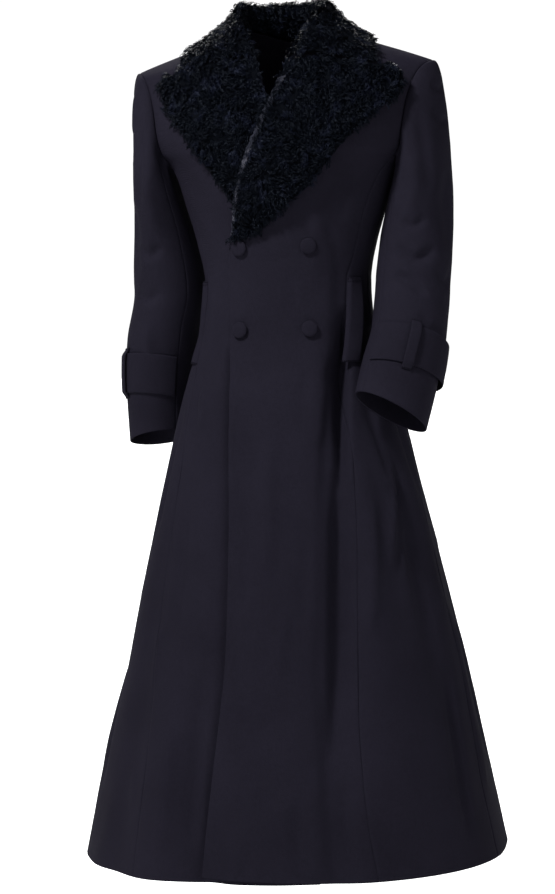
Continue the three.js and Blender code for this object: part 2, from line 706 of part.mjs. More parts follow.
// A point of a sleeve moved out where it would come too close to the side of the body.
function hug(side, point, way) {
  const reach = read(RINGS, "z", point.z, point.y < 0 ? "front" : "back");
  const ratio = Math.abs(point.y) / reach;
  if (point.z > CHEST || ratio >= 1) return point;
  const shape = read(RINGS, "z", point.z, "power");
  const limit = read(RINGS, "z", point.z, "half") * (1 - ratio ** shape) ** (1 / shape) + HUG;
  const space = side * point.x - limit;
  if (space >= 12) return point;
  const eased = space <= -12 ? 0 : (space + 12) ** 2 / 48;
  point.x = side * mix(side * point.x, limit + eased, ease((way - 0.02) / 0.1));
  return point;
}

// Outer face of a sleeve: head from the armhole to the first oval, then down to the cuff.
const HEAD = 0.34;
function sleeve(side, turn, way) {
  if (way >= HEAD) return hug(side, sleeveRing(side, turn, (way - HEAD) / (1 - HEAD)), way);
  const t = way / HEAD;
  const out = Math.cos(radians(turn));
  const start = armholePoint(side, turn).point.add(vec(side * 2.2 * SEAM, 0, 0));
  const end = sleeveRing(side, turn, 0);
  const reach = start.distanceTo(end);
  const top = Math.max(0, out);
  const leave = vec(side * (0.55 + 0.75 * top), -0.55 * Math.sin(radians(turn)), -0.45 + 0.5 * top);
  leave.multiplyScalar(mix(0.45, 0.2, top) * reach);
  const below = sleeveRing(side, turn, 0.04).sub(end).setLength(reach * mix(0.7, 1.1, top));
  const t2 = t * t;
  const t3 = t2 * t;
  const point = start.multiplyScalar(2 * t3 - 3 * t2 + 1);
  point.addScaledVector(leave, t3 - 2 * t2 + t);
  point.addScaledVector(end, 3 * t2 - 2 * t3);
  return hug(side, point.addScaledVector(below, t3 - t2), way);
}

function onSleeve(side, turn, way, lift = 0) {
  const point = sleeve(side, turn, way);
  const stepWay = way < 0.02 ? [0, 0.01] : [way - 0.01, way + 0.01];
  const around = sleeve(side, turn + 1, way).sub(sleeve(side, turn - 1, way));
  const along = sleeve(side, turn, stepWay[1]).sub(sleeve(side, turn, stepWay[0]));
  const normal = around.cross(along).normalize().multiplyScalar(side);
  if (way === 0) {
    const short = turn > 180 ? turn - 360 : turn;
    normal.lerp(armholePoint(side, short).normal, ease((105 - Math.abs(short)) / 50)).normalize();
  }
  return { point: point.addScaledVector(normal, lift), normal };
}

const SLEEVE_ROWS = [0, 0.02, 0.05, 0.09, 0.14, 0.2, 0.27, 0.34, 0.42, 0.5, 0.58, 0.66, 0.74, 0.82, 0.91, 1];

function sleevePiece(side, from, to, columns) {
  const rows = SLEEVE_ROWS.map((way) => steps(from, to, columns).map((turn) => onSleeve(side, turn, way)));
  return wall(rows, CLOTH);
}

for (const { side, name } of CUFFS) {
  const upper = sleevePiece(side, SLEEVE_BACK_SEAM, SLEEVE_FRONT_SEAM, 14);
  const under = sleevePiece(side, SLEEVE_FRONT_SEAM, 360 + SLEEVE_BACK_SEAM, 7);
  add(`sleeve_${name}_upper`, upper, wool);
  add(`sleeve_${name}_under`, under, wool);
}

// ---------------------------------------------------------------- cuff straps and loops

// Place on a sleeve a given distance up from the edge of the cuff.
function wayUp(side, turn, distance) {
  const edge = sleeve(side, turn, 1);
  let way = 1;
  while (way > 0.5 && edge.distanceTo(sleeve(side, turn, way)) < distance) way -= 0.004;
  return way;
}

for (const { side, name, loopTurn, slack, slackTurn } of CUFFS) {
  const strapRim = (turn) => STRAP_RIM + STRAP_RISE * Math.cos(radians(turn));
  const strapLift = (turn, up) => {
    const bulge = slack * Math.exp(-(((turn - slackTurn) / 36) ** 2));
    return STRAP_LIFT + CLOTH + bulge * mix(1, 0.45, up);
  };
  const strap = steps(0, 1, 3).map((up) =>
    steps(SLEEVE_BACK_SEAM + 2, SLEEVE_FRONT_SEAM - 2, 18).map((turn) => {
      const way = wayUp(side, turn, strapRim(turn) + up * STRAP_WIDTH);
      return onSleeve(side, turn, way, strapLift(turn, up));
    }),
  );
  add(`cuff_strap_${name}`, wall(strap, CLOTH), wool);
  const half = degrees(LOOP_WIDTH / 2 / 60);
  const loop = steps(0, 1, 6).map((up) =>
    steps(loopTurn - half, loopTurn + half, 2).map((turn) => {
      const rim = strapRim(turn) + (STRAP_WIDTH - LOOP_LENGTH) / 2 + up * LOOP_LENGTH;
      const over = ease(Math.min(up, 1 - up) * 6);
      const lift = mix(0.55 + CLOTH, strapLift(turn, 0) + 3.65 + CLOTH, over);
      return onSleeve(side, turn, wayUp(side, turn, rim), lift);
    }),
  );
  add(`cuff_loop_${name}`, wall(loop, CLOTH), wool);
}

// ---------------------------------------------------------------- pocket welts

// The welt is sewn to the front seam and its free edge gapes towards the side.
for (const side of [1, -1]) {
  const samples = steps(0, 1, 8).map((down) =>
    steps(0, 1, 4).map((u) => {
      const z = mix(POCKET_TOP, POCKET_BOTTOM, down);
      const start = sidePlace(side, 0, z);
      const across = degrees(WELT_WIDTH / read(RINGS, "z", z, "half")) * side;
      const gape = Math.sin(Math.PI * down) * (side > 0 ? 7 : 1.5) * u ** 1.5 + 1;
      return onRing(start + across * mix(0.04, 1, u), z, CLOTH + 0.6 + gape);
    }),
  );
  add(`pocket_welt_${side > 0 ? "left" : "right"}`, wall(samples, CLOTH), wool);
}

// ---------------------------------------------------------------- buttons

// Covered button: a low dome on a flat back.
function button(x, z, shank) {
  const place = onFront(x, z, overLift(x, z) + shank);
  const profile = [
    [0, 0],
    [BUTTON_RADIUS * 0.86, 0],
    [BUTTON_RADIUS, 1.6],
    [BUTTON_RADIUS, 3],
    [BUTTON_RADIUS * 0.9, 4.6],
    [BUTTON_RADIUS * 0.6, 5.6],
    [0, BUTTON_HEIGHT],
  ];
  const around = 24;
  const frame = new THREE.Quaternion().setFromUnitVectors(vec(0, 0, 1), place.normal);
  const positions = [];
  const put = (r, h, a) => {
    const p = vec(r * Math.cos(a), r * Math.sin(a), h).applyQuaternion(frame).add(place.point);
    positions.push(p.x, p.y, p.z);
  };
  put(0, 0, 0);
  for (const [r, h] of profile.slice(1, -1)) {
    for (let i = 0; i < around; i += 1) put(r, h, (2 * Math.PI * i) / around);
  }
  put(0, BUTTON_HEIGHT, 0);
  const loops = profile.length - 2;
  const crown = 1 + loops * around;
  const faces = [];
  for (let i = 0; i < around; i += 1) {
    const next = (i + 1) % around;
    faces.push(0, 1 + next, 1 + i);
    for (let r = 0; r < loops - 1; r += 1) {
      const a = 1 + r * around;
      const b = a + around;
      faces.push(a + i, a + next, b + next, a + i, b + next, b + i);
    }
    const last = 1 + (loops - 1) * around;
    faces.push(last + i, last + next, crown);
  }
  return outward(positions, faces);
}

for (const { name, x, z, shank } of BUTTONS) add(name, button(x, z, shank), wool);

export default coat;
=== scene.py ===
# %% [markdown]
# # A double-breasted overcoat with a fur collar
# The coat is worn but empty: cloth walls a few millimetres thick, open at the neck, the hem and the cuffs.
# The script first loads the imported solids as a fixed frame, then makes each sewn piece again as a dense thin
# shell on the same form, with its creases, and grows fur on the collar and the lapels. Lengths in the tables
# are millimetres, because a tailor works in them; a mesh is scaled to metres when it is made.

# %% Load the frame
import math

import bpy
import numpy as np
from mathutils import Matrix


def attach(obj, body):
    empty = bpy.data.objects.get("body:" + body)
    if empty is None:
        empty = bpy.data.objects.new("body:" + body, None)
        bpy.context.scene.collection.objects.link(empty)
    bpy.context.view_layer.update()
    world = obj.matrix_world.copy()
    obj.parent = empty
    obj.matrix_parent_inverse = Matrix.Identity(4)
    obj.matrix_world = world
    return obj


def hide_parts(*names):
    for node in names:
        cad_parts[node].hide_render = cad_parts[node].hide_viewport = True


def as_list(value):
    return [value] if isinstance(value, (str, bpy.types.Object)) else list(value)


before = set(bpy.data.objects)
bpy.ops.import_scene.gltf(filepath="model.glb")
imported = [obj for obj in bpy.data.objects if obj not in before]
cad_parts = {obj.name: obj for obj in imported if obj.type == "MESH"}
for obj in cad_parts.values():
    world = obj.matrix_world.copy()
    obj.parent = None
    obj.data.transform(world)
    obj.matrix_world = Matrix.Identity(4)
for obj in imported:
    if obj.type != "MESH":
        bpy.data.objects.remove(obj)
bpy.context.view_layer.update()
print("solids:", len(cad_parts))

# %% [markdown]
# ## Camera
# The camera comes first, so that every later look is from the same place. A long lens keeps the coat's height
# free of perspective. The camera stands to the wearer's left of the middle, a little above the waist, and is
# rolled by about a degree. Its three axes are worked out one by one, which says more plainly than an Euler
# angle where "right", "up" and "forwards" are.

# %% Camera
AIM = math.radians(13)
DOWN = math.radians(2.65)
ROLL = math.radians(1.15)
DISTANCE, HEIGHT, SIDESTEP = 4.2, -0.5316, -0.0245
LENS_LENGTH, FILM_WIDTH = 96.4, 36

right = np.array([math.cos(AIM), math.sin(AIM), 0])
forward = np.array([-math.sin(AIM), math.cos(AIM), 0])
up = np.array([0.0, 0.0, 1.0])
stand_at = -forward * DISTANCE + up * HEIGHT + right * SIDESTEP
look = forward * math.cos(DOWN) - up * math.sin(DOWN)
over = up * math.cos(DOWN) + forward * math.sin(DOWN)
side_axis = right * math.cos(ROLL) - over * math.sin(ROLL)
top_axis = over * math.cos(ROLL) + right * math.sin(ROLL)

lens = bpy.data.cameras.new("portrait_lens")
lens.lens, lens.sensor_width = LENS_LENGTH, FILM_WIDTH
camera = bpy.data.objects.new("portrait_camera", lens)
bpy.context.scene.collection.objects.link(camera)
turn_to = np.stack([side_axis, top_axis, -look], axis=1)
placed = np.eye(4)
placed[:3, :3] = turn_to
placed[:3, 3] = stand_at
camera.matrix_world = Matrix(placed.tolist())
bpy.context.scene.camera = camera
print("camera at", [round(float(v), 3) for v in stand_at])

# %% [markdown]
# ## Reading a table along a smooth curve
# The coat's form is kept in short tables of named sizes. Between two rows the value has to change smoothly,
# with no overshoot, or a seam would wave. A cubic whose slope at each row is the harmonic mean of the slopes
# on both sides does that. Numpy reads a whole grid of places at once.

# %% Smooth reading and small sums
def read(rows, by, value, column):
    """Column of a table at each value, by a smooth curve through its rows."""
    x = np.array([row[by] for row in rows], float)
    y = np.array([row[column] for row in rows], float)
    if x[-1] < x[0]:
        x, y = x[::-1], y[::-1]
    rise = np.diff(y) / np.diff(x)
    tangent = np.empty_like(y)
    tangent[0], tangent[-1] = rise[0], rise[-1]
    a, b = rise[:-1], rise[1:]
    agree = a * b > 0
    tangent[1:-1] = np.where(agree, 2 * a * b / np.where(agree, a + b, 1), 0)
    value = np.asarray(value, float)
    i = np.clip(np.searchsorted(x, value) - 1, 0, len(x) - 2)
    run = x[i + 1] - x[i]
    t = (value - x[i]) / run
    ts = np.clip(t, 0, 1)
    t2, t3 = ts * ts, ts**3
    inside = (
        (2 * t3 - 3 * t2 + 1) * y[i]
        + (t3 - 2 * t2 + ts) * tangent[i] * run
        + (3 * t2 - 2 * t3) * y[i + 1]
        + (t3 - t2) * tangent[i + 1] * run
    )
    before, after = tangent[i] * (value - x[i]), tangent[i + 1] * (value - x[i + 1])
    return inside + np.where(t < 0, before, np.where(t > 1, after, 0))


def table(names, *rows):
    return [dict(zip(names.split(), row)) for row in rows]


def mix(a, b, t):
    return a + (b - a) * t


def ease(t):
    t = np.clip(t, 0, 1)
    return t * t * (3 - 2 * t)


def signed_power(v, p):
    return np.sign(v) * np.abs(v) ** p


def stack(x, y, z):
    return np.stack(np.broadcast_arrays(x, y, z), axis=-1).astype(float)


def unit(v):
    return v / np.maximum(np.linalg.norm(v, axis=-1, keepdims=True), 1e-9)


print("a quarter of the way from 0 to 8:", mix(0, 8, 0.25))

# %% [markdown]
# ## The body of the coat
# Below the armpits the coat is a stack of rounded rings, from the waist out to the wide hem. Above them each
# ring closes over the shoulders as an arch. One function for each part gives the point of the outer face, so
# every panel that lies on it meets its neighbours exactly.

# %% Sizes of the body
CLOTH = 2.4
CHEST, ARMPIT = -226, -240
HEM_MIDDLE, HEM_TILT, HEM_CORNER_RISE = -1438, 8, 10
RIDGE_Y, NECK_X, TIP_X, GORGE_X = 8, 85, 262, 32
FRONT_NECK_ARC, BACK_NECK_ARC, ARMPIT_TURN = 45, 57, 22

RINGS = table(
    "z half front back power",
    (40, 305, 124, 128, 2.4),
    (-62, 287, 124, 128, 2.4),
    (-89, 264, 124, 128, 2.4),
    (-112, 254, 124, 128, 2.4),
    (-141, 246, 124, 128, 2.4),
    (-174, 240, 124, 128, 2.4),
    (-212, 221, 124, 128, 2.4),
    (-226, 206, 124, 128, 2.4),
    (-240, 197, 123, 127, 2.35),
    (-300, 178, 117, 120, 2.3),
    (-370, 157, 108, 112, 2.3),
    (-430, 146, 105, 114, 2.3),
    (-520, 153, 111, 124, 2.3),
    (-580, 172, 125, 140, 2.3),
    (-650, 192, 144, 160, 2.3),
    (-750, 217, 170, 184, 2.25),
    (-900, 252, 203, 215, 2.2),
    (-1100, 296, 240, 250, 2.2),
    (-1300, 337, 271, 282, 2.2),
    (-1460, 371, 292, 302, 2.2),
)
SHOULDER = table("x z", (0, 30), (85, 0), (160, -27), (262, -62), (300, -78))
ARMHOLE = table(
    "z front back",
    (-62, 262, 262),
    (-72, 249, 253),
    (-89, 238, 244),
    (-112, 229, 236),
    (-141, 222, 230),
    (-174, 217, 224),
    (-212, 210, 211),
    (-226, 200, 200),
)
FRONT_EDGE = table(
    "z x",
    (-55, 32),
    (-67, 26),
    (-128, 4),
    (-174, -17),
    (-208, -33),
    (-242, -45),
    (-301, -60),
    (-338, -68),
    (-378, -78),
    (-430, -81),
    (-520, -80),
    (-680, -70),
    (-950, -68),
    (-1065, -67),
    (-1255, -80),
    (-1370, -91),
    (-1460, -100),
)
FRONT_SEAM = table(
    "z left right",
    (-226, 200, 200),
    (-252, 179, 181),
    (-287, 162, 165),
    (-328, 147, 151),
    (-397, 129, 135),
    (-432, 119, 131),
    (-560, 116, 147),
    (-730, 136, 168),
    (-860, 145, 185),
    (-1000, 150, 204),
    (-1180, 157, 211),
    (-1330, 172, 225),
    (-1460, 196, 238),
)
SIDE_SEAM = table("z turn", (-240, 0), (-430, -8), (-1460, -9))
print("rings from", RINGS[0]["z"], "to", RINGS[-1]["z"], "mm")

# %% Flutes of the skirt
FOLDS = table(
    "top topTurn bottom bottomTurn depth spread tail",
    (-500, -50, -760, -62, -11, 9, 0),
    (-700, -61, -1460, -76, -6, 8, 1),
    (-640, -90, -1100, -88, 5, 8, 0),
    (-700, -101, -1150, -99, -5, 6, 0),
    (-700, -49, -1200, -52, 8, 8, 0),
    (-640, -36, -1040, -34, 7, 5, 0),
    (-660, -28, -1200, -26, -6, 5, 0),
    (-640, -12, -1300, -14, 8, 9, 0),
    (-1000, -112, -1460, -106, -7, 7, 1),
    (-1050, -124, -1460, -122, 6, 8, 1),
    (-620, -136, -1460, -140, -7, 8, 1),
    (-640, 152, -1460, 150, 12, 11, 1),
    (-600, 130, -1460, 128, -12, 10, 1),
    (-600, 108, -1460, 107, 13, 11, 1),
    (-560, 89, -1460, 88, -9, 8, 1),
    (-620, 69, -1460, 66, 13, 11, 1),
    (-640, 47, -1460, 44, -11, 10, 1),
    (-700, 24, -1460, 22, 10, 10, 1),
    (-560, -40, -740, -42, -9, 14, 0),
)


def fold_depth(turn, z):
    """How far the big flutes move the cloth in or out at a bearing and a level."""
    depth = np.zeros(np.broadcast(turn, z).shape)
    for fold in FOLDS:
        way = (fold["top"] - z) / (fold["top"] - fold["bottom"])
        centre = mix(fold["topTurn"], fold["bottomTurn"], way)
        off = (turn - centre + 540) % 360 - 180
        strength = ease(way * 1.6) if fold["tail"] else np.sin(np.pi * np.clip(way, 0, 1))
        depth = depth + fold["depth"] * strength * np.exp(-((off / fold["spread"]) ** 2))
    return depth


def ring(turn, z):
    """Outer face at a bearing in degrees (0 the wearer's left, -90 the front) and a level."""
    turn, z = np.broadcast_arrays(np.asarray(turn, float), np.asarray(z, float))
    squareness = 2 / read(RINGS, "z", z, "power")
    c, s = np.cos(np.radians(turn)), np.sin(np.radians(turn))
    x = read(RINGS, "z", z, "half") * signed_power(c, squareness)
    reach = np.where(s < 0, read(RINGS, "z", z, "front"), read(RINGS, "z", z, "back"))
    y = reach * signed_power(s, squareness)
    ridge = read(SHOULDER, "x", np.abs(x), "z")
    rise = np.clip((z - CHEST) / (ridge - CHEST), 0, 1)
    y = np.where(z > CHEST, RIDGE_Y + (y - RIDGE_Y) * np.sqrt(1 - rise * rise), y)
    fold = fold_depth(turn, z)
    return stack(x + c * fold, y + s * fold, z)


def bearing(x, z, face):
    """Bearing of the place that stands x from the middle plane, on the front (-1) or the back (1)."""
    ratio = np.minimum(1, np.abs(x) / read(RINGS, "z", z, "half"))
    c = ratio ** (read(RINGS, "z", z, "power") / 2)
    return face * np.degrees(np.arccos(np.sign(x) * c))


def arch(x, arc, face):
    """Outer face of the chest or the upper back: arc is degrees up towards the shoulder line."""
    x, arc = np.broadcast_arrays(np.asarray(x, float), np.asarray(arc, float))
    ridge = read(SHOULDER, "x", np.abs(x), "z")
    z = CHEST + (ridge - CHEST) * np.sin(np.radians(arc))
    shape = read(RINGS, "z", z, "power")
    ratio = np.minimum(1, np.abs(x) / read(RINGS, "z", z, "half"))
    reach = read(RINGS, "z", z, "front" if face < 0 else "back")
    y = face * reach * (1 - ratio**shape) ** (1 / shape)
    return stack(x, RIDGE_Y + (y - RIDGE_Y) * np.cos(np.radians(arc)), z)


def arch_of(x, z):
    ridge = read(SHOULDER, "x", np.abs(x), "z")
    return np.degrees(np.arcsin(np.clip((z - CHEST) / (ridge - CHEST), -1, 1)))


def outward_normal(surface, a, b, step_a, step_b):
    """Direction straight out of the coat on a surface of two parameters."""
    across = surface(a + step_a, b) - surface(a - step_a, b)
    along = surface(a, b + step_b) - surface(a, b - step_b)
    normal = unit(np.cross(across, along))
    point = surface(a, b)
    inside_z = np.where(point[..., 2] < CHEST, point[..., 2], np.minimum(point[..., 2], -140) - 60)
    inside = stack(point[..., 0] * 0.6, RIDGE_Y, inside_z)
    away = np.sum(normal * (point - inside), axis=-1, keepdims=True)
    return point, np.where(away < 0, -normal, normal)


def on_ring(turn, z):
    return outward_normal(ring, np.asarray(turn, float), np.asarray(z, float), 0.4, 1)


def on_arch(x, arc, face):
    x, arc = np.asarray(x, float), np.asarray(arc, float)
    return outward_normal(lambda a, b: arch(a, b, face), x, arc, 0.5, 0.5)


def on_front(x, z):
    """Point and outward direction on the front, given by x and level."""
    x, z = np.broadcast_arrays(np.asarray(x, float), np.asarray(z, float))
    low = np.minimum(z, CHEST)
    below, below_normal = on_ring(bearing(x, low, -1), low)
    high = np.maximum(z, CHEST)
    above, above_normal = on_arch(x, arch_of(x, high), -1)
    chosen = (z <= CHEST)[..., None]
    return np.where(chosen, below, above), np.where(chosen, below_normal, above_normal)


print("hem reaches", [round(float(v)) for v in ring(-90, HEM_MIDDLE)], "mm in front")

# %% [markdown]
# ## A cloth wall
# Every cloth piece is a grid of points on its outer face. The grid is denser than the solid's, so that soft
# creases can be pressed into it. An inner face set one cloth thickness behind closes it into a wall, as real
# cloth has two faces and an edge. The outer face rolls in a little towards each sewn edge, which draws the
# seam. A mesh made straight from arrays is quick and exact; a Solidify modifier would do the same, but less
# evenly where creases are tight.

# %% Walls from grids
def face_out(points, outward):
    """Normals of a grid of points, on the side that outward shows."""
    across = np.gradient(points, axis=1)
    along = np.gradient(points, axis=0)
    normal = unit(np.cross(across, along))
    flip = np.sum(normal * outward, axis=-1, keepdims=True)
    return np.where(flip < 0, -normal, normal)


def wall(name, outer, inner, material):
    """Closed mesh between two equal grids, in metres."""
    rows, columns = outer.shape[:2]
    layer = rows * columns
    points = np.concatenate([outer.reshape(-1, 3), inner.reshape(-1, 3)]) / 1000
    r, c = np.meshgrid(np.arange(rows - 1), np.arange(columns - 1), indexing="ij")
    at = (r * columns + c).ravel()
    top = np.stack([at, at + 1, at + columns + 1, at + columns], axis=1)
    rim = []
    first, last = np.arange(columns - 1), (rows - 1) * columns + np.arange(columns - 1)
    rim.append(np.stack([first + 1, first, layer + first, layer + first + 1], axis=1))
    rim.append(np.stack([last, last + 1, layer + last + 1, layer + last], axis=1))
    west = np.arange(rows - 1) * columns
    east = west + columns - 1
    rim.append(np.stack([west, west + columns, layer + west + columns, layer + west], axis=1))
    rim.append(np.stack([east + columns, east, layer + east, layer + east + columns], axis=1))
    faces = np.concatenate([top, layer + top[:, ::-1]] + rim)
    corners = points[faces]
    volume = np.sum(corners[:, 0] * np.cross(corners[:, 1], corners[:, 2]))
    volume += np.sum(corners[:, 0] * np.cross(corners[:, 2], corners[:, 3]))
    if volume < 0:
        faces = faces[:, ::-1]
    mesh = bpy.data.meshes.new(name)
    mesh.from_pydata(points.tolist(), [], faces.tolist())
    mesh.polygons.foreach_set("use_smooth", [True] * len(mesh.polygons))
    mesh.update()
    piece = bpy.data.objects.new(name, mesh)
    bpy.context.scene.collection.objects.link(piece)
    mesh.materials.append(material)
    return piece


def spread(count, length, edge=5.0):
    """Ways from 0 to 1 for a row of points, closer together within a few millimetres of both ends."""
    near = np.array([0, 0.25, 0.55, 1.0]) * edge / length
    return np.concatenate([near, np.linspace(near[-1], 1 - near[-1], count + 1)[1:-1], 1 - near[::-1]])


def mean_steps(points, axis):
    """Distance along a grid from its first row or column, averaged over the others."""
    gaps = np.linalg.norm(np.diff(points, axis=axis), axis=-1)
    total = np.cumsum(gaps, axis=axis)
    start = np.zeros_like(np.take(total, [0], axis=axis))
    return np.concatenate([start, total], axis=axis)


def seam_roll(points, sides, reach=4.5, depth=1.0):
    """How far the face sinks towards its sewn edges: sides names them, out of first, last, left and right."""
    down, across = mean_steps(points, 0), mean_steps(points, 1)
    gap = {
        "first": down,
        "last": down[-1:] - down,
        "left": across,
        "right": across[:, -1:] - across,
    }
    sink = np.zeros(points.shape[:2])
    for side in sides:
        sink = np.maximum(sink, depth * np.clip(1 - gap[side] / reach, 0, 1) ** 2)
    return sink


print("helpers for walls made")

# %% [markdown]
# ## Creases
# Soft creases are what make cloth read as cloth. Each is a path over the coat's surface with a depth, below
# zero for a trough, and a width on each side, so that one flank can be steeper. The distance from every grid
# point to the path decides how far it moves. This is like drawing with a soft brush in sculpt mode, but it
# gives the same result each time. A low, uneven swell over everything keeps the long panels from looking
# pressed.

# %% Pressing a crease
def smooth_path(points, count=28):
    """A curve through a few two-number points, as even steps."""
    points = np.asarray(points, float)
    keys = np.linspace(0, 1, len(points))
    rows = [{"t": k, "a": p[0], "b": p[1]} for k, p in zip(keys, points)]
    t = np.linspace(0, 1, count)
    return read(rows, "t", t, "a"), read(rows, "t", t, "b")


def press(points, normals, path, depth, wide_one, wide_two, taper=0.3, reach=160):
    """Moves points along their normals near a path of 3-D places: a crease that fades at both ends."""
    near = np.abs(points - path.mean(axis=0)).max(axis=-1) < reach + np.abs(path - path.mean(axis=0)).max()
    moved = np.zeros(points.shape[:-1])
    if not near.any():
        return moved
    p = points[near]
    best = np.full(len(p), 1e9)
    way, flank = np.zeros(len(p)), np.zeros(len(p))
    for i in range(len(path) - 1):
        step = path[i + 1] - path[i]
        t = np.clip(np.sum((p - path[i]) * step, axis=1) / np.sum(step * step), 0, 1)
        off = p - path[i] - t[:, None] * step
        far = np.linalg.norm(off, axis=1)
        closer = far < best
        best = np.where(closer, far, best)
        way = np.where(closer, (i + t) / (len(path) - 1), way)
        flank = np.where(closer, np.sum(np.cross(normals[near], step) * off, axis=1), flank)
    wide = np.where(flank > 0, wide_one, wide_two)
    fade = np.clip(np.minimum(way, 1 - way) / taper, 0, 1)
    moved[near] = depth * np.exp(-((best / wide) ** 2)) * np.sin(np.pi / 2 * fade)
    return moved


def swell(points, seed, height=0.8, length=150):
    """Low uneven waves over a surface, from a fixed set of sine waves."""
    chance = np.random.default_rng(seed)
    total = np.zeros(points.shape[:-1])
    for octave, share in ((1.0, 1.0), (0.53, 0.5), (0.27, 0.22)):
        for _ in range(5):
            way = unit(chance.normal(size=3) * np.array([1.3, 1.3, 0.7]))
            phase = chance.uniform(0, 2 * np.pi)
            total += share * np.sin(points @ way * 2 * np.pi / (length * octave) + phase)
    return total * height / 3


print("crease brush ready")

# %% [markdown]
# ## Wool
# The coat is a dense, brushed wool, nearly black with a breath of navy and plum. Three things make it read as
# wool and not as plastic: a fine nap and a faint twill in the bump, slow uneven patches in the colour, and
# sheen, the soft light that short fibres catch at a glancing angle. The nap, the twill and the patches are
# one node group, because the buttons and the straps use them as well at other strengths. Object coordinates
# keep the pattern at its true size on every piece.

# %% Nodes for cloth
def new_group(name, inputs, outputs):
    group = bpy.data.node_groups.new(name, "ShaderNodeTree")
    for label, kind, value in inputs:
        socket = group.interface.new_socket(label, in_out="INPUT", socket_type=kind)
        socket.default_value = value
    for label, kind in outputs:
        group.interface.new_socket(label, in_out="OUTPUT", socket_type=kind)
    return group, group.nodes.new("NodeGroupInput"), group.nodes.new("NodeGroupOutput")


def node(tree, kind, **values):
    made = tree.nodes.new(kind)
    for key, value in values.items():
        setattr(made, key, value)
    return made


def noise(tree, coordinates, scale, detail=3.0, rough=0.5):
    made = node(tree, "ShaderNodeTexNoise")
    made.inputs["Scale"].default_value = scale
    made.inputs["Detail"].default_value = detail
    made.inputs["Roughness"].default_value = rough
    tree.links.new(coordinates, made.inputs["Vector"])
    return made.outputs["Fac"]


def sum_of(tree, kind, a, b):
    made = node(tree, "ShaderNodeMath", operation=kind)
    for socket, value in zip(made.inputs, (a, b)):
        if isinstance(value, (int, float)):
            socket.default_value = value
        else:
            tree.links.new(value, socket)
    return made.outputs[0]


def between(tree, factor, low, high):
    made = node(tree, "ShaderNodeMapRange")
    made.inputs["To Min"].default_value = low
    made.inputs["To Max"].default_value = high
    tree.links.new(factor, made.inputs["Value"])
    return made.outputs["Result"]


def cloth_group():
    group, start, end = new_group(
        "brushed_cloth",
        [("Colour", "NodeSocketColor", (0.01, 0.01, 0.015, 1)), ("Patches", "NodeSocketFloat", 0.3),
         ("Nap size", "NodeSocketFloat", 700.0), ("Twill", "NodeSocketFloat", 0.3)],
        [("Colour", "NodeSocketColor"), ("Roughness", "NodeSocketFloat"), ("Height", "NodeSocketFloat")],
    )
    place = node(group, "ShaderNodeTexCoord").outputs["Object"]
    nap = node(group, "ShaderNodeTexNoise")
    nap.inputs["Detail"].default_value = 4
    nap.inputs["Roughness"].default_value = 0.62
    group.links.new(place, nap.inputs["Vector"])
    group.links.new(start.outputs["Nap size"], nap.inputs["Scale"])
    lines = node(group, "ShaderNodeTexWave", bands_direction="DIAGONAL")
    lines.inputs["Scale"].default_value = 260
    lines.inputs["Distortion"].default_value = 0.8
    group.links.new(place, lines.inputs["Vector"])
    patches = sum_of(group, "ADD", noise(group, place, 7, 3), noise(group, place, 190, 4, 0.7))
    patches = sum_of(group, "SUBTRACT", patches, 1.0)
    shade = sum_of(group, "MULTIPLY", patches, start.outputs["Patches"])
    speck = sum_of(group, "MULTIPLY", sum_of(group, "SUBTRACT", nap.outputs["Fac"], 0.5), 0.9)
    shade = sum_of(group, "ADD", sum_of(group, "ADD", shade, speck), 1.0)
    tint = node(group, "ShaderNodeVectorMath", operation="SCALE")
    group.links.new(start.outputs["Colour"], tint.inputs[0])
    group.links.new(shade, tint.inputs["Scale"])
    twill = sum_of(group, "MULTIPLY", lines.outputs["Fac"], start.outputs["Twill"])
    height = sum_of(group, "ADD", nap.outputs["Fac"], twill)
    group.links.new(tint.outputs[0], end.inputs["Colour"])
    group.links.new(between(group, nap.outputs["Fac"], 0.66, 0.9), end.inputs["Roughness"])
    group.links.new(height, end.inputs["Height"])
    return group


brushed_cloth = cloth_group()


def cloth_material(name, colour, patches, twill, bump, nap=700.0, sheen_colour=(0.7, 0.6, 1.0)):
    material = bpy.data.materials.new(name)
    material.use_nodes = True
    tree = material.node_tree
    shader = tree.nodes["Principled BSDF"]
    cloth = node(tree, "ShaderNodeGroup", node_tree=brushed_cloth)
    cloth.inputs["Colour"].default_value = (*colour, 1)
    cloth.inputs["Patches"].default_value = patches
    cloth.inputs["Nap size"].default_value = nap
    cloth.inputs["Twill"].default_value = twill
    relief = node(tree, "ShaderNodeBump")
    relief.inputs["Strength"].default_value = bump
    relief.inputs["Distance"].default_value = 0.0006
    tree.links.new(cloth.outputs["Colour"], shader.inputs["Base Color"])
    tree.links.new(cloth.outputs["Roughness"], shader.inputs["Roughness"])
    tree.links.new(cloth.outputs["Height"], relief.inputs["Height"])
    tree.links.new(relief.outputs["Normal"], shader.inputs["Normal"])
    shader.inputs["Specular IOR Level"].default_value = 0.02
    shader.inputs["Specular Tint"].default_value = (0.87, 0.82, 1.0, 1)
    shader.inputs["Sheen Weight"].default_value = 0.004
    shader.inputs["Sheen Roughness"].default_value = 0.45
    shader.inputs["Sheen Tint"].default_value = (*sheen_colour, 1)
    return material


coat_wool = cloth_material("coat_wool", (0.0092, 0.0084, 0.0136), patches=0.55, twill=0.5, bump=0.8)
button_wool = cloth_material("button_wool", (0.0088, 0.0080, 0.0130), 0.4, 0.5, 0.6, 1100, (0.75, 0.7, 1.0))
seam_thread = cloth_material("seam_thread", (0.0006, 0.0006, 0.0012), 0.1, 0.8, 0.6, 1500, (0.8, 0.8, 0.9))
print("cloth materials made")

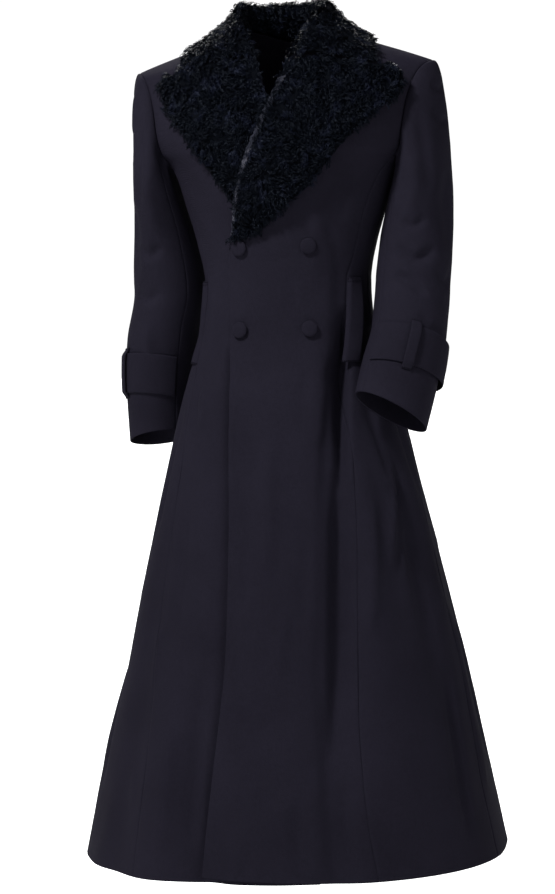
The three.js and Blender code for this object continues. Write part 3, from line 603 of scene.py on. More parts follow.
# %% [markdown]
# ## Body panels
# Six panels make the body, as in the pattern: two fronts, two side panels between the curved front seam and
# the side seam, and two halves of the back. The wearer's left front laps over the right one, so it stands
# off by a few millimetres over the overlap, and gapes a little more towards the hem. Each panel has a yoke
# above the armpit, filled in between its four edges, and a skirt of rings below.

# %% Lines of the panels
def front_edge(side, z):
    return side * read(FRONT_EDGE, "z", z, "x")


def edge_turn(side, z):
    return bearing(front_edge(side, z), z, -1)


def seam_turn(side, z):
    return bearing(side * read(FRONT_SEAM, "z", z, "left" if side > 0 else "right"), z, -1)


def front_place(side, u, z):
    return mix(edge_turn(side, z), seam_turn(side, z), u)


def mirrored(side, turn):
    return turn if side > 0 else 180 - turn


def side_place(side, u, z):
    back = mirrored(side, read(SIDE_SEAM, "z", np.minimum(z, ARMPIT), "turn"))
    return mix(seam_turn(side, z), back if side > 0 else back - 360, u)


def hem(turn):
    return HEM_MIDDLE + HEM_TILT * np.cos(np.radians(turn))


def over_lift(x, z):
    """How far the upper front stands out over the lower one, and away from it at its edge."""
    edge_x = read(FRONT_EDGE, "z", z, "x")
    from_edge = x - edge_x
    overlap = 1 - ease((from_edge - 6 + 2 * edge_x) / 22)
    lapel = ease((z + 352) / 60) * (1 - ease((z + 150) / 60))
    gapes = 7 * ease((-580 - z) / 70) * (1 - ease((-680 - z) / 200))
    swing = 14 * ease((-900 - z) / 500)
    return 4.8 * overlap + (lapel * 8 + gapes + swing) * (1 - ease(from_edge / 120))


def shoulder_line(t, start, start_arc):
    t = np.asarray(t, float)
    near = t < 0.3
    x = np.where(near, mix(start, NECK_X, t / 0.3), mix(NECK_X, TIP_X, (t - 0.3) / 0.7))
    arc = np.where(near, mix(start_arc, 90, np.clip(t / 0.3, 0, 1) ** 1.4), 90)
    return x, arc


def armhole_edge(v, face):
    v = np.asarray(v, float)
    z = mix(CHEST, ARMHOLE[0]["z"], np.sin(np.radians(90 * v)))
    x = np.where(v == 1, TIP_X, read(ARMHOLE, "z", z, "front" if face < 0 else "back"))
    return x, np.where(v == 1, 90, arch_of(x, z))


def patch(u, v, bottom, top, left, right):
    """Fills in between four edges, each of which gives x and arc."""
    corners = [bottom(0.0), bottom(1.0), top(0.0), top(1.0)]
    filled = []
    for k in (0, 1):
        across = (1 - u) * left(v)[k] + u * right(v)[k]
        upwards = (1 - v) * bottom(u)[k] + v * top(u)[k]
        low = (1 - u) * corners[0][k] + u * corners[1][k]
        high = (1 - u) * corners[2][k] + u * corners[3][k]
        filled.append(across + upwards - (1 - v) * low - v * high)
    return filled


print("lines of the panels made")

# %% [markdown]
# The places of the creases are what a dressmaker would chalk on the coat: where the hip pushes the front out,
# where the hanging weight pulls a long valley from the waist, and where the side seam slackens. They differ
# in length, depth and spacing. Those of the hidden back are of the same kind.

# %% Creases of the body
PRESS, SLEEVE_PRESS = 1.45, 2.3  # how hard the creases are pressed, as a share of their rows
SEAM_TURN = 0.25  # how far the face reaches over each sewn edge
# Each row: x and level of its points on the front, depth, width on either side.
FRONT_CREASES = [
    ([(117, -480), (121, -590), (122, -680), (120, -800)], -17.0, 9, 11),
    ([(117, -720), (116, -880), (118, -1020), (120, -1240)], -11.0, 34, 12),
    ([(117, -760), (118, -830), (124, -930), (129, -1020), (122, -1150), (109, -1270)], -5.0, 10, 15),
    ([(100, -560), (96, -640), (97, -740), (92, -850)], -3.5, 17, 17),
    ([(92, -600), (86, -660), (80, -720)], 1.8, 12, 8),
    ([(4, -690), (3, -760), (4, -860), (1, -970)], 3.4, 10, 15),
    ([(-34, -790), (-35, -850), (-33, -920), (-38, -990)], -2.8, 10, 10),
    ([(166, -800), (170, -880), (172, -970), (168, -1040)], 4.0, 9, 14),
    ([(194, -740), (198, -800), (198, -860), (203, -930)], 4.2, 5, 9),
    ([(201, -760), (206, -820), (208, -890), (212, -950)], -3.2, 7, 7),
    ([(42, -980), (30, -1040), (24, -1120)], 2.0, 9, 14),
    ([(-46, -1170), (-53, -1210), (-62, -1244), (-76, -1252)], 3.4, 6, 9),
    ([(-42, -1180), (-49, -1222), (-60, -1262)], -2.6, 6, 7),
    ([(6, -1150), (-14, -1180), (-36, -1222)], 3.0, 6, 9),
    ([(-2, -1262), (-14, -1300), (-24, -1336)], 3.2, 6, 8),
    ([(-50, -1312), (-42, -1340), (-32, -1366)], 2.8, 6, 8),
    ([(-14, -1366), (-22, -1400), (-30, -1436)], -5.0, 6, 10),
    ([(-26, -1372), (-34, -1404), (-40, -1436)], 3.2, 6, 9),
    ([(-40, -1030), (-10, -1020), (26, -1040)], -1.4, 12, 8),
    ([(90, -1240), (84, -1300), (90, -1370), (98, -1440)], 3.0, 14, 18),
    ([(60, -1300), (58, -1350), (64, -1420)], -2.6, 12, 12),
    ([(140, -1270), (138, -1330), (146, -1400)], -3.0, 11, 14),
    ([(24, -420), (30, -450), (28, -500)], -1.1, 10, 8),
    ([(-20, -395), (4, -402), (32, -394)], -0.9, 8, 8),
    ([(96, -300), (78, -345), (70, -400), (72, -450)], 1.6, 12, 16),
    ([(150, -246), (128, -290), (112, -340)], -1.6, 10, 14),
    ([(108, -262), (92, -300), (84, -340)], -1.2, 10, 12),
    ([(60, -590), (54, -640), (56, -700)], -1.6, 12, 12),
    ([(-62, -560), (-58, -640), (-60, -730), (-58, -800)], 1.6, 9, 14),
    ([(70, -860), (66, -930), (70, -1010)], -1.8, 12, 14),
]
# On the lower front and the right side, where x is to the wearer's right.
RIGHT_CREASES = [
    ([(-128, -620), (-128, -650), (-126, -690)], 3.6, 9, 14),
    ([(-142, -600), (-144, -650), (-140, -710)], -3.0, 9, 11),
    ([(-200, -1020), (-206, -1070), (-214, -1140)], 2.6, 9, 12),
    ([(-250, -1270), (-252, -1305), (-255, -1345)], 1.6, 9, 10),
    ([(-110, -1090), (-116, -1180), (-124, -1290), (-128, -1420)], -4.5, 12, 18),
    ([(-142, -760), (-150, -860), (-158, -970), (-164, -1060)], -3.0, 12, 16),
    ([(-112, -470), (-100, -520), (-98, -580)], -1.6, 10, 12),
    ([(-150, -250), (-128, -296), (-112, -346)], -1.8, 11, 14),
    ([(-164, -1180), (-170, -1270), (-180, -1400)], 3.4, 14, 18),
    ([(-104, -1240), (-106, -1330), (-112, -1430)], 2.8, 9, 14),
]
# Each row: bearing and level of its points round the sides and the back. The widest one eases the hem out at
# the wearer's right.
ROUND_CREASES = [
    ([(-30, -430), (-20, -470), (-14, -520)], -5.2, 12, 12),
    ([(-36, -640), (-34, -700), (-33, -780)], -5.2, 10, 14),
    ([(-10, -600), (-8, -700), (-6, -820)], -5.6, 14, 18),
    ([(6, -420), (10, -500), (12, -590)], -4.5, 12, 14),
    ([(30, -380), (38, -440), (42, -520)], 4.2, 14, 14),
    ([(58, -330), (66, -420), (70, -520), (69, -640)], -5.6, 14, 18),
    ([(82, -400), (86, -480), (85, -560)], -3.5, 12, 14),
    ([(104, -350), (108, -450), (110, -560)], -5.2, 14, 18),
    ([(130, -380), (126, -460), (128, -540)], 4.2, 14, 14),
    ([(150, -400), (148, -480), (152, -560)], -4.5, 12, 14),
    ([(186, -420), (186, -520), (184, -620)], -4.2, 12, 12),
    ([(205, -640), (203, -760), (204, -880)], -6.0, 12, 16),
    ([(78, -700), (76, -900), (77, -1120)], -6.3, 12, 18),
    ([(58, -820), (56, -1000), (55, -1200), (54, -1420)], -7.0, 14, 20),
    ([(36, -780), (34, -960), (33, -1130)], 5.6, 12, 16),
    ([(14, -900), (12, -1080), (12, -1300)], -6.3, 14, 18),
    ([(-4, -1000), (-5, -1150), (-4, -1330)], 5.2, 12, 16),
    ([(-20, -1100), (-22, -1240), (-24, -1400)], -7.0, 12, 16),
    ([(99, -720), (98, -860), (98, -1010)], -5.6, 12, 16),
    ([(118, -900), (118, -1080), (119, -1300)], 6.0, 13, 18),
    ([(140, -760), (140, -940), (139, -1130)], 5.2, 12, 16),
    ([(162, -840), (161, -1020), (162, -1260)], -6.6, 14, 18),
    ([(174, -1000), (174, -1180), (173, -1400)], 5.6, 12, 16),
    ([(192, -980), (194, -1140), (196, -1330)], -6.3, 13, 17),
    ([(184, -1100), (184, -1300), (184, -1500), (184, -1760)], 9.6, 75, 75),
    ([(62, -236), (70, -262), (84, -280)], -2.8, 10, 12),
    ([(118, -236), (110, -262), (98, -280)], -3.1, 10, 12),
    ([(40, -250), (46, -290), (50, -340)], -4.2, 10, 14),
    ([(140, -250), (134, -290), (130, -340)], -4.2, 10, 14),
]


def crease_paths():
    """All the creases of the body as 3-D paths, with their depths and widths."""
    paths = []
    for rows in (FRONT_CREASES, RIGHT_CREASES):
        for points, depth, one, two in rows:
            x, z = smooth_path(points)
            paths.append((on_front(x, z)[0], depth, one, two))
    for points, depth, one, two in ROUND_CREASES:
        turn, z = smooth_path(points)
        paths.append((ring(turn, z), depth, one, two))
    return paths


BODY_CREASES = crease_paths()
print(len(BODY_CREASES), "creases on the body")

# %% Making a panel
def panel(name, points, outward, sewn, seed, extra=None):
    """A body panel from its grid: swell, creases, rolled seams, then the wall."""
    normal = face_out(points, outward)
    move = swell(points, seed, 0.7)
    for path, depth, one, two in BODY_CREASES:
        move = move + press(points, normal, path, depth * PRESS, one, two)
    calm = ease((CHEST + 90 - points[..., 2]) / 120)
    move = move * mix(0.35, 1, calm)
    if extra is not None:
        move = move + extra(points)
    face = points + normal * move[..., None]
    for row, near in ((0, 1), (-1, -2)):
        face[row] -= unit(face[near] - face[row]) * SEAM_TURN
        face[:, row] -= unit(face[:, near] - face[:, row]) * SEAM_TURN
    normal = face_out(face, outward)
    outer = face - normal * seam_roll(points, sewn)[..., None]
    inner = face - normal * CLOTH
    made = wall(name, outer, inner, coat_wool)
    cut_size(points)
    print(name, len(made.data.polygons), "faces")
    return made


def front_grid(side, columns=40, up_rows=46, down_rows=216):
    u = spread(columns, 200)[None, :]
    v = spread(up_rows, 190)[::-1, None]

    def low(t):
        turn = mix(bearing(front_edge(1, CHEST), CHEST, -1), bearing(200, CHEST, -1), t)
        return ring(turn, CHEST)[..., 0], np.zeros_like(np.asarray(t, float))

    def roll(t):
        z = mix(CHEST, FRONT_EDGE[0]["z"], t)
        x = front_edge(1, z)
        return x, arch_of(x, z)

    def top(t):
        return shoulder_line(t, GORGE_X, FRONT_NECK_ARC)

    x, arc = patch(u, v, low, top, roll, lambda t: armhole_edge(t, -1))
    yoke, yoke_out = on_arch(side * x, arc, -1)
    lift = over_lift(x, yoke[..., 2]) if side > 0 else 0 * x
    yoke = yoke + yoke_out * lift[..., None]

    v = spread(down_rows, 1200, 9)[1:, None] ** 1.05
    guess = mix(CHEST, HEM_MIDDLE, v)
    corner = HEM_CORNER_RISE * (1 - u) ** 2 if side > 0 else 0
    z = mix(CHEST, hem(front_place(side, u, guess)) + corner, v)
    turn = front_place(side, u, z)
    skirt, skirt_out = on_ring(turn, z)
    lift = over_lift(skirt[..., 0], z) if side > 0 else 0 * z
    skirt = skirt + skirt_out * lift[..., None]
    return np.concatenate([yoke, skirt]), np.concatenate([yoke_out, skirt_out])


def back_grid(side, columns=40, up_rows=46, down_rows=216):
    u = spread(columns, 220)[None, :]
    v = spread(up_rows, 190)[::-1, None]

    def low(t):
        t = np.asarray(t, float)
        return ring(mix(90, ARMPIT_TURN, t), CHEST)[..., 0], np.zeros_like(t)

    def middle(t):
        return np.zeros_like(np.asarray(t, float)), mix(0, BACK_NECK_ARC, t)

    def top(t):
        return shoulder_line(t, 0, BACK_NECK_ARC)

    x, arc = patch(u, v, low, top, middle, lambda t: armhole_edge(t, 1))
    yoke, yoke_out = on_arch(side * x, arc, 1)
    v = spread(down_rows, 1200, 9)[:, None] ** 1.05
    bottom = hem(mirrored(side, mix(90, read(SIDE_SEAM, "z", HEM_MIDDLE, "turn"), u)))
    z = mix(ARMPIT, bottom, v)
    skirt, skirt_out = on_ring(mirrored(side, mix(90, read(SIDE_SEAM, "z", z, "turn"), u)), z)
    return np.concatenate([yoke, skirt]), np.concatenate([yoke_out, skirt_out])


def side_grid(side, columns=26, rows=216):
    u = spread(columns, 150)[None, :]
    v = spread(rows, 1200, 9)[:, None]
    z = mix(mix(CHEST, ARMPIT, ease(u * 1.4)), hem(side_place(side, u, HEM_MIDDLE)), v**1.05)
    return on_ring(side_place(side, u, z), z)


RECESS = 13


def recess(points):
    """The lower front turns in beside the edge of the upper one, most under the buttons and at the hem."""
    x, z = points[..., 0], points[..., 2]
    off = x - read(FRONT_EDGE, "z", z, "x") - 3
    high = ease((-535 - z) / 40) * (1 - 0.5 * ease((-690 - z) / 120))
    low = 0.7 * ease((-1050 - z) / 250)
    wide = np.where(off < 0, mix(13, 24, low), 34)
    return -RECESS * (high + low) * np.exp(-((off / wide) ** 2))


def cut_size(points):
    """Width, length and area of a piece when it is laid flat, in metres."""
    across = np.linalg.norm(np.diff(points, axis=1), axis=-1).sum(axis=1).max() / 1000
    down = np.linalg.norm(np.diff(points, axis=0), axis=-1).sum(axis=0).max() / 1000
    one, two = points[1:, 1:] - points[:-1, :-1], points[1:, :-1] - points[:-1, 1:]
    area = np.linalg.norm(np.cross(one, two), axis=-1).sum() / 2e6
    return across, down, min(area, across * down)


panels = {}
for side, word in ((1, "left"), (-1, "right")):
    inwards = recess if side < 0 else None
    for part, grid, sewn, seed, extra in (
        ("front", front_grid, ("right",), 11 + side, inwards),
        ("side", side_grid, ("left", "right"), 21 + side, None),
        ("back", back_grid, ("left", "right"), 31 + side, None),
    ):
        panels[f"{part}_{word}"] = panel(f"coat_{part}_{word}", *grid(side), sewn, seed, extra)
for node_name, piece in panels.items():
    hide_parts(node_name)

# %% [markdown]
# ## Sleeves
# A sleeve is cut in two pieces, an upper that shows and an under one towards the body. Its head is eased into
# the armhole, so it leaves the shoulder outwards before it hangs down, and the arm inside bends it forwards:
# the left arm more, with its hand at the pocket. Each level is a slanted oval. The head between the armhole
# and the first oval is a curve that starts along the shoulder and ends along the arm.

# %% Sleeve tables and surface
SLEEVES = {
    1: table(
        "i x y z half depth slantOut slantBack",
        (0, 236, 8, -285, 55, 79, -0.12, 0),
        (1, 230, 4, -350, 62, 75, -0.05, 0),
        (2, 224.5, -16, -440, 64.5, 70, 0.05, 0.12),
        (3, 223.5, -62, -530, 64, 63, 0.12, 0.35),
        (4, 213.5, -104, -600, 63, 58, 0.3, 0.45),
        (5, 204, -142, -662, 60, 54, 0.45, 0.45),
    ),
    -1: table(
        "i x y z half depth slantOut slantBack",
        (0, 230, 10, -285, 46, 79, -0.12, 0),
        (1, 225.5, 26, -350, 57, 75, -0.05, 0),
        (2, 224, 44, -440, 66, 69, 0, 0),
        (3, 243, 56, -530, 66, 65, 0.02, 0.05),
        (4, 256, 74, -630, 62, 61, 0.08, 0.15),
        (5, 259, 84, -710, 58, 57, 0.16, 0.22),
    ),
}
SLEEVE_FRONT_SEAM, SLEEVE_BACK_SEAM, HEAD = 131, -112, 0.34
HEAD_TUCK = 1.6  # how far the sleeve's head reaches under the armhole seam
HUG, HUG_EASE = 3, 12  # least space to the body, and over how much more it eases off


def armhole_line(side, face):
    """The armhole from the shoulder tip down to the armpit."""
    x, arc = armhole_edge(np.linspace(1, 0, 40), face)
    t = np.linspace(0.08, 1, 12)
    start = bearing(200, CHEST, -1) if face < 0 else ARMPIT_TURN
    low = ring(mirrored(side, mix(start, 0, t)), mix(CHEST, ARMPIT, ease(t * 1.4)))
    return np.concatenate([arch(side * x, arc, face), low])


ARMHOLES = {(side, face): armhole_line(side, face) for side in (1, -1) for face in (-1, 1)}


def armhole_point(side, turn):
    """Place on the armhole at the sleeve's own turn: 0 at the shoulder tip, 180 at the armpit."""
    found = []
    for face in (-1, 1):
        points = ARMHOLES[side, face]
        gone = np.concatenate([[0], np.cumsum(np.linalg.norm(np.diff(points, axis=0), axis=1))])
        target = np.abs(turn) / 180 * gone[-1]
        found.append(np.stack([np.interp(target, gone, points[:, k]) for k in range(3)], axis=-1))
    return np.where((np.asarray(turn) >= 0)[..., None], *found)


def sleeve_ring(side, turn, down):
    rows = SLEEVES[side]
    place = np.asarray(down) * (len(rows) - 1)
    c, s = np.cos(np.radians(turn)), np.sin(np.radians(turn))
    out = read(rows, "i", place, "half") * c
    back = -read(rows, "i", place, "depth") * s
    drop = read(rows, "i", place, "slantOut") * out + read(rows, "i", place, "slantBack") * back
    x = side * (read(rows, "i", place, "x") + out)
    return stack(x, read(rows, "i", place, "y") + back, read(rows, "i", place, "z") - drop)


def hug(side, points, way):
    """Moves the inner side of a sleeve out where it would come too close to the body."""
    x, y, z = side * points[..., 0], points[..., 1], points[..., 2]
    ratio = np.abs(y) / np.where(y < 0, read(RINGS, "z", z, "front"), read(RINGS, "z", z, "back"))
    shape = read(RINGS, "z", z, "power")
    beside = (1 - np.clip(ratio, 0, 1) ** shape) ** (1 / shape)
    limit = read(RINGS, "z", z, "half") * beside + HUG
    space = x - limit
    eased = (np.clip(space, -HUG_EASE, HUG_EASE) + HUG_EASE) ** 2 / (4 * HUG_EASE)
    moved = mix(x, limit + eased, ease((way - 0.02) / 0.1))
    near = (space < HUG_EASE) & (z <= CHEST) & (ratio < 1)
    return stack(side * np.where(near, moved, x), y, z)


def sleeve(side, turn, way):
    """Outer face of a sleeve at a turn round it and a way down it."""
    turn, way = np.broadcast_arrays(np.asarray(turn, float), np.asarray(way, float))
    short = np.where(turn > 180, turn - 360, turn)
    t = np.clip(way / HEAD, 0, 1)[..., None]
    c, s = np.cos(np.radians(turn)), np.sin(np.radians(turn))
    start = armhole_point(side, short) + np.array([side * 0.5, 0, 0])
    end = sleeve_ring(side, turn, 0.0)
    reach = np.linalg.norm(end - start, axis=-1, keepdims=True)
    top = np.maximum(0, c)[..., None]
    leave = stack(side * (0.55 + 0.75 * top[..., 0]), -0.55 * s, -0.45 + 0.5 * top[..., 0])
    leave = leave * mix(0.45, 0.2, top) * reach
    below = unit(sleeve_ring(side, turn, 0.04) - end) * reach * mix(0.7, 1.1, top)
    t2, t3 = t * t, t**3
    head = start * (2 * t3 - 3 * t2 + 1) + leave * (t3 - 2 * t2 + t)
    head = head + end * (3 * t2 - 2 * t3) + below * (t3 - t2)
    arm = sleeve_ring(side, turn, np.clip((way - HEAD) / (1 - HEAD), 0, 1))
    return hug(side, np.where((way >= HEAD)[..., None], arm, head), way)


# Each row: turn and way of its points, depth, widths. The elbow and the forearm carry the deepest.
SLEEVE_CREASES = {
    1: [
        ([(30, 0.1), (14, 0.13), (-6, 0.12)], -2.2, 6, 9),
        ([(38, 0.16), (18, 0.2), (-4, 0.2)], -2.0, 6, 10),
        ([(64, 0.1), (66, 0.22), (58, 0.36)], -2.0, 12, 12),
        ([(96, 0.2), (88, 0.32), (92, 0.44)], 2.2, 12, 12),
        ([(20, 0.3), (26, 0.42), (16, 0.54)], -2.0, 14, 16),
        ([(110, 0.52), (78, 0.56), (46, 0.53)], -3.4, 8, 11),
        ([(112, 0.6), (82, 0.62), (56, 0.66)], -3.0, 7, 10),
        ([(104, 0.45), (84, 0.47), (66, 0.44)], -2.4, 7, 9),
        ([(40, 0.58), (20, 0.61), (0, 0.58)], -2.2, 9, 12),
        ([(-30, 0.52), (-52, 0.56), (-80, 0.55)], -2.6, 10, 12),
        ([(-40, 0.64), (-62, 0.68), (-90, 0.66)], -2.4, 9, 12),
        ([(66, 0.7), (44, 0.74), (20, 0.73)], -1.8, 8, 10),
        ([(-20, 0.24), (-34, 0.36), (-28, 0.46)], -2.2, 13, 14),
        ([(-78, 0.16), (-84, 0.3), (-76, 0.42)], 2.2, 12, 14),
    ],
    -1: [
        ([(28, 0.08), (32, 0.14), (36, 0.2)], 2.2, 5, 8),
        ([(16, 0.1), (20, 0.18), (24, 0.26)], -2.2, 8, 9),
        ([(60, 0.12), (66, 0.24), (60, 0.38)], -2.4, 11, 12),
        ([(94, 0.18), (88, 0.34), (94, 0.48)], 2.0, 12, 13),
        ([(34, 0.36), (42, 0.48), (36, 0.6)], -2.2, 14, 15),
        ([(98, 0.5), (76, 0.53), (50, 0.51)], -2.4, 8, 11),
        ([(90, 0.62), (64, 0.64), (40, 0.62)], -1.8, 8, 10),
        ([(76, 0.7), (80, 0.78), (74, 0.86)], 1.6, 10, 10),
        ([(-8, 0.4), (-14, 0.52), (-8, 0.66)], 2.2, 12, 14),
        ([(-40, 0.5), (-62, 0.53), (-90, 0.52)], -2.4, 9, 12),
        ([(-36, 0.2), (-44, 0.34), (-38, 0.46)], -2.4, 13, 14),
        ([(-80, 0.62), (-86, 0.74), (-80, 0.84)], -2.0, 12, 12),
    ],
}


def sleeve_piece(side, name, start, stop, columns, seed):
    turns = mix(start, stop, spread(columns, math.radians(stop - start) * 66))[None, :]
    ways = spread(150, 660, 6)[:, None]
    points = sleeve(side, turns, ways)
    outward = stack(side * np.cos(np.radians(turns)) + 0 * ways, -np.sin(np.radians(turns)) + 0 * ways, 0)
    normal = face_out(points, outward)
    move = swell(points, seed, 0.6, 110) * ease(ways * 6)
    for path, depth, one, two in SLEEVE_CREASES[side]:
        turn, way = smooth_path(path)
        move = move + press(points, normal, sleeve(side, turn, way), depth * SLEEVE_PRESS, one, two)
    quiet = 1 - 0.75 * ease((ways - 0.78) / 0.08)
    face = points + normal * (move * quiet)[..., None]
    for row, near in ((0, 1), (-1, -2)):
        face[:, row] -= unit(face[:, near] - face[:, row]) * SEAM_TURN
    face[0] -= unit(face[1] - face[0]) * HEAD_TUCK
    normal = face_out(face, outward)
    outer = face - normal * seam_roll(points, ("first", "left", "right"), 4, 0.6)[..., None]
    inner = face - normal * CLOTH
    made = wall(name, outer, inner, coat_wool)
    cut_size(points)
    print(name, len(made.data.polygons), "faces")
    return made


for side, word in ((1, "left"), (-1, "right")):
    for part, start, stop, columns in (
        ("upper", SLEEVE_BACK_SEAM, SLEEVE_FRONT_SEAM, 46),
        ("under", SLEEVE_FRONT_SEAM, 360 + SLEEVE_BACK_SEAM, 24),
    ):
        piece = sleeve_piece(side, f"coat_sleeve_{word}_{part}", start, stop, columns, 41 + side)
        panels[f"sleeve_{word}_{part}"] = piece
        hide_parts(f"sleeve_{word}_{part}")

# %% [markdown]
# ## Cuff straps, loops and pocket welts
# The straps run round the cuffs, over the upper sleeve only, and pass under a narrow loop. The left one has
# gone slack and stands away at the outer side. The welts are strips sewn into the front seams; their free
# edges gape a little. All of them are flat strips laid on a surface at a small lift, so one function makes
# them: it takes the points and the directions to lift in.

# %% Strips of cloth
SEWN = {}  # the lines that each strip is sewn down along


def strip(name, points, outward, lift, sewn_rows=()):
    normal = face_out(points, outward)
    points = points + normal * np.asarray(lift)[..., None]
    normal = face_out(points, outward)
    outer = points - normal * seam_roll(points, ("first", "last", "left", "right"), 2.6, 0.8)[..., None]
    made = wall(name, outer, points - normal * CLOTH, coat_wool)
    cut_size(points)
    print(name, len(made.data.polygons), "faces")
    if sewn_rows:
        high = points + normal * 0.25
        SEWN[name] = [high[row, 2:-2] for row in sewn_rows]
    return made


def way_up(side, turn, distance):
    """The way down a sleeve that is a distance up from the edge of the cuff."""
    ways = np.linspace(0.5, 1, 240)
    turn, distance = np.broadcast_arrays(np.asarray(turn, float), np.asarray(distance, float))
    found = np.empty(turn.shape)
    for index in np.ndindex(turn.shape):
        line = sleeve(side, turn[index], ways)
        up = np.linalg.norm(line - line[-1], axis=1)
        found[index] = np.interp(distance[index], up[::-1], ways[::-1])
    return found


def strap_rim(turn):
    return 70 + 16 * np.cos(np.radians(turn))


STRAP_LIFT, STRAP_WIDTH = 1.4, 73
LOOP_SEAT, LOOP_OVER, LOOP_LENGTH, LOOP_WIDTH, LOOP_BELOW = 0.55, 3.65, 93, 15, 10
SLACK_SPREAD = 36
CUFFS = table("side word loop slack slackTurn", (1, "left", 69, 6, -14), (-1, "right", 32, 2, -40))


def round_cuff(cuff, turns, ways):
    """Points on a sleeve, their outward directions, and how far a slack strap stands off at each turn."""
    c, s = np.cos(np.radians(turns)), np.sin(np.radians(turns))
    outward = stack(cuff["side"] * c + 0 * ways, -s + 0 * ways, 0)
    bulge = cuff["slack"] * np.exp(-(((turns - cuff["slackTurn"]) / SLACK_SPREAD) ** 2))
    return sleeve(cuff["side"], turns, ways), outward, bulge


for cuff in CUFFS:
    side, word = cuff["side"], cuff["word"]
    turns = mix(SLEEVE_BACK_SEAM + 2, SLEEVE_FRONT_SEAM - 2, spread(56, 250, 3))[None, :]
    up = spread(14, STRAP_WIDTH, 2.5)[:, None]
    points, outward, bulge = round_cuff(cuff, turns, way_up(side, turns, strap_rim(turns) + up * STRAP_WIDTH))
    wave = 0.5 * np.sin(turns / 17 + side) * np.sin(np.pi * up)
    lift = STRAP_LIFT + CLOTH + bulge * mix(1, 0.45, up) + wave
    strap = strip(f"coat_cuff_strap_{word}", points, outward, lift)
    half = math.degrees(LOOP_WIDTH / 2 / 60)
    turns = mix(cuff["loop"] - half, cuff["loop"] + half, spread(6, LOOP_WIDTH, 2))[None, :]
    up = spread(36, LOOP_LENGTH, 3)[:, None]
    ways = way_up(side, turns, strap_rim(turns) - LOOP_BELOW + up * LOOP_LENGTH)
    points, outward, bulge = round_cuff(cuff, turns, ways)
    top = STRAP_LIFT + CLOTH + bulge + LOOP_OVER + CLOTH
    lift = mix(LOOP_SEAT + CLOTH, top, ease(np.minimum(up, 1 - up) * 6))
    loop = strip(f"coat_cuff_loop_{word}", points, outward, lift, (2, -3))
    panels[f"cuff_strap_{word}"], panels[f"cuff_loop_{word}"] = strap, loop
    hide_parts(f"cuff_strap_{word}")
    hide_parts(f"cuff_loop_{word}")

# %% Pocket welts
WELT_TOP, WELT_BOTTOM, WELT_WIDTH = -434, -578, 40
for side, word, opens in ((1, "left", 7), (-1, "right", 1.5)):
    down = spread(44, WELT_TOP - WELT_BOTTOM, 3)[:, None]
    u = spread(12, WELT_WIDTH, 2.5)[None, :]
    z = mix(WELT_TOP, WELT_BOTTOM, down)
    across = np.degrees(WELT_WIDTH / read(RINGS, "z", z, "half")) * side
    gape = np.sin(np.pi * down) * opens * u**1.5 + 1
    points, out = on_ring(side_place(side, 0, z) + across * mix(0.04, 1, u), z + 0 * u)
    lift = mix(0.4, CLOTH + 0.6 + gape, ease(u * 5))
    welt = strip(f"coat_pocket_welt_{word}", points, out, lift, (2, 4, -3))
    panels[f"pocket_welt_{word}"] = welt
    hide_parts(f"pocket_welt_{word}")
    print("pocket welt", word, WELT_TOP - WELT_BOTTOM, "mm long")

# %% [markdown]
# ## Lapels
# The lapels are wide, with a peak that points up past the shoulder line, and are cut from the same curly fur
# as the collar. Under the curls there is a body, thinner than the solid it stands for, so that the pile can
# fill the rest. The lower lapel runs under the upper front and thins there.

# %% Lapel bodies
LAPEL_EDGE = table(
    "z over under",
    (-90, 215, 212),
    (-112, 213, 200),
    (-145, 189, 186),
    (-169, 162, 164),
    (-198, 131, 142),
    (-231, 101, 119),
    (-260, 77, 95),
    (-285, 55, 74),
    (-308, 26, 60),
    (-330, 2, 54),
    (-352, -28, 50),
    (-364, -52, 48),
)
PEAK_LIFT, UNDER_COLLAR, STAND_OFF = 13, 11, 10


def lapel_grid(side, body, rows=90, columns=56):
    """Outer face and thickness of a lapel, with body as its full thickness."""
    over = side > 0
    bottom = -362 if over else -325
    v = spread(rows, 300, 6)[:, None]
    u = spread(columns, 150, 6)[None, :]
    fold_z = mix(-64, bottom, v)
    edge_z = mix(-92, bottom + 4, v**1.1)
    fold_x = read(FRONT_EDGE, "z", fold_z, "x") + 1.5
    inner = fold_x if over else np.maximum(fold_x, -fold_x - 22)
    outer = read(LAPEL_EDGE, "z", edge_z, "over" if over else "under")
    x = mix(inner, np.maximum(outer, inner + 10), u)
    peak = PEAK_LIFT * np.sin(np.pi * ease((u - 0.78) / 0.22)) * (1 - v) ** 6
    under_collar = UNDER_COLLAR * np.sin(np.pi * np.clip(u / 0.84, 0, 1)) ** 0.5 * (1 - v) ** 9
    z = mix(fold_z, edge_z, u) + peak + under_collar
    curl = STAND_OFF * ease((u - 0.45) / 0.5) * ease((0.97 - v) / 0.25)
    base = over_lift(x, z) + 2 + curl if over else 1.4
    hidden = 0 * u if over else 1 - ease((x + fold_x - 4) / 24)
    from_edge = np.minimum(np.minimum(u, 1 - u), 0.2)
    full = mix(3, body, np.sin(np.pi * np.minimum(0.5, 0.1 + 2.2 * from_edge)))
    thickness = mix(full, 3, hidden) * mix(1, 0.5, ease((v - 0.85) / 0.15))
    place, out = on_front(side * x, z)
    return place + out * (base + thickness)[..., None], out, thickness


print("lapel surface made")

# %% [markdown]
# ## Collar
# The collar stands up inside the neck, turns over a soft fold and falls on the shoulders. It is drawn as
# sections, from the stand to the outer edge, at even ways round the neck from one notch to the other.

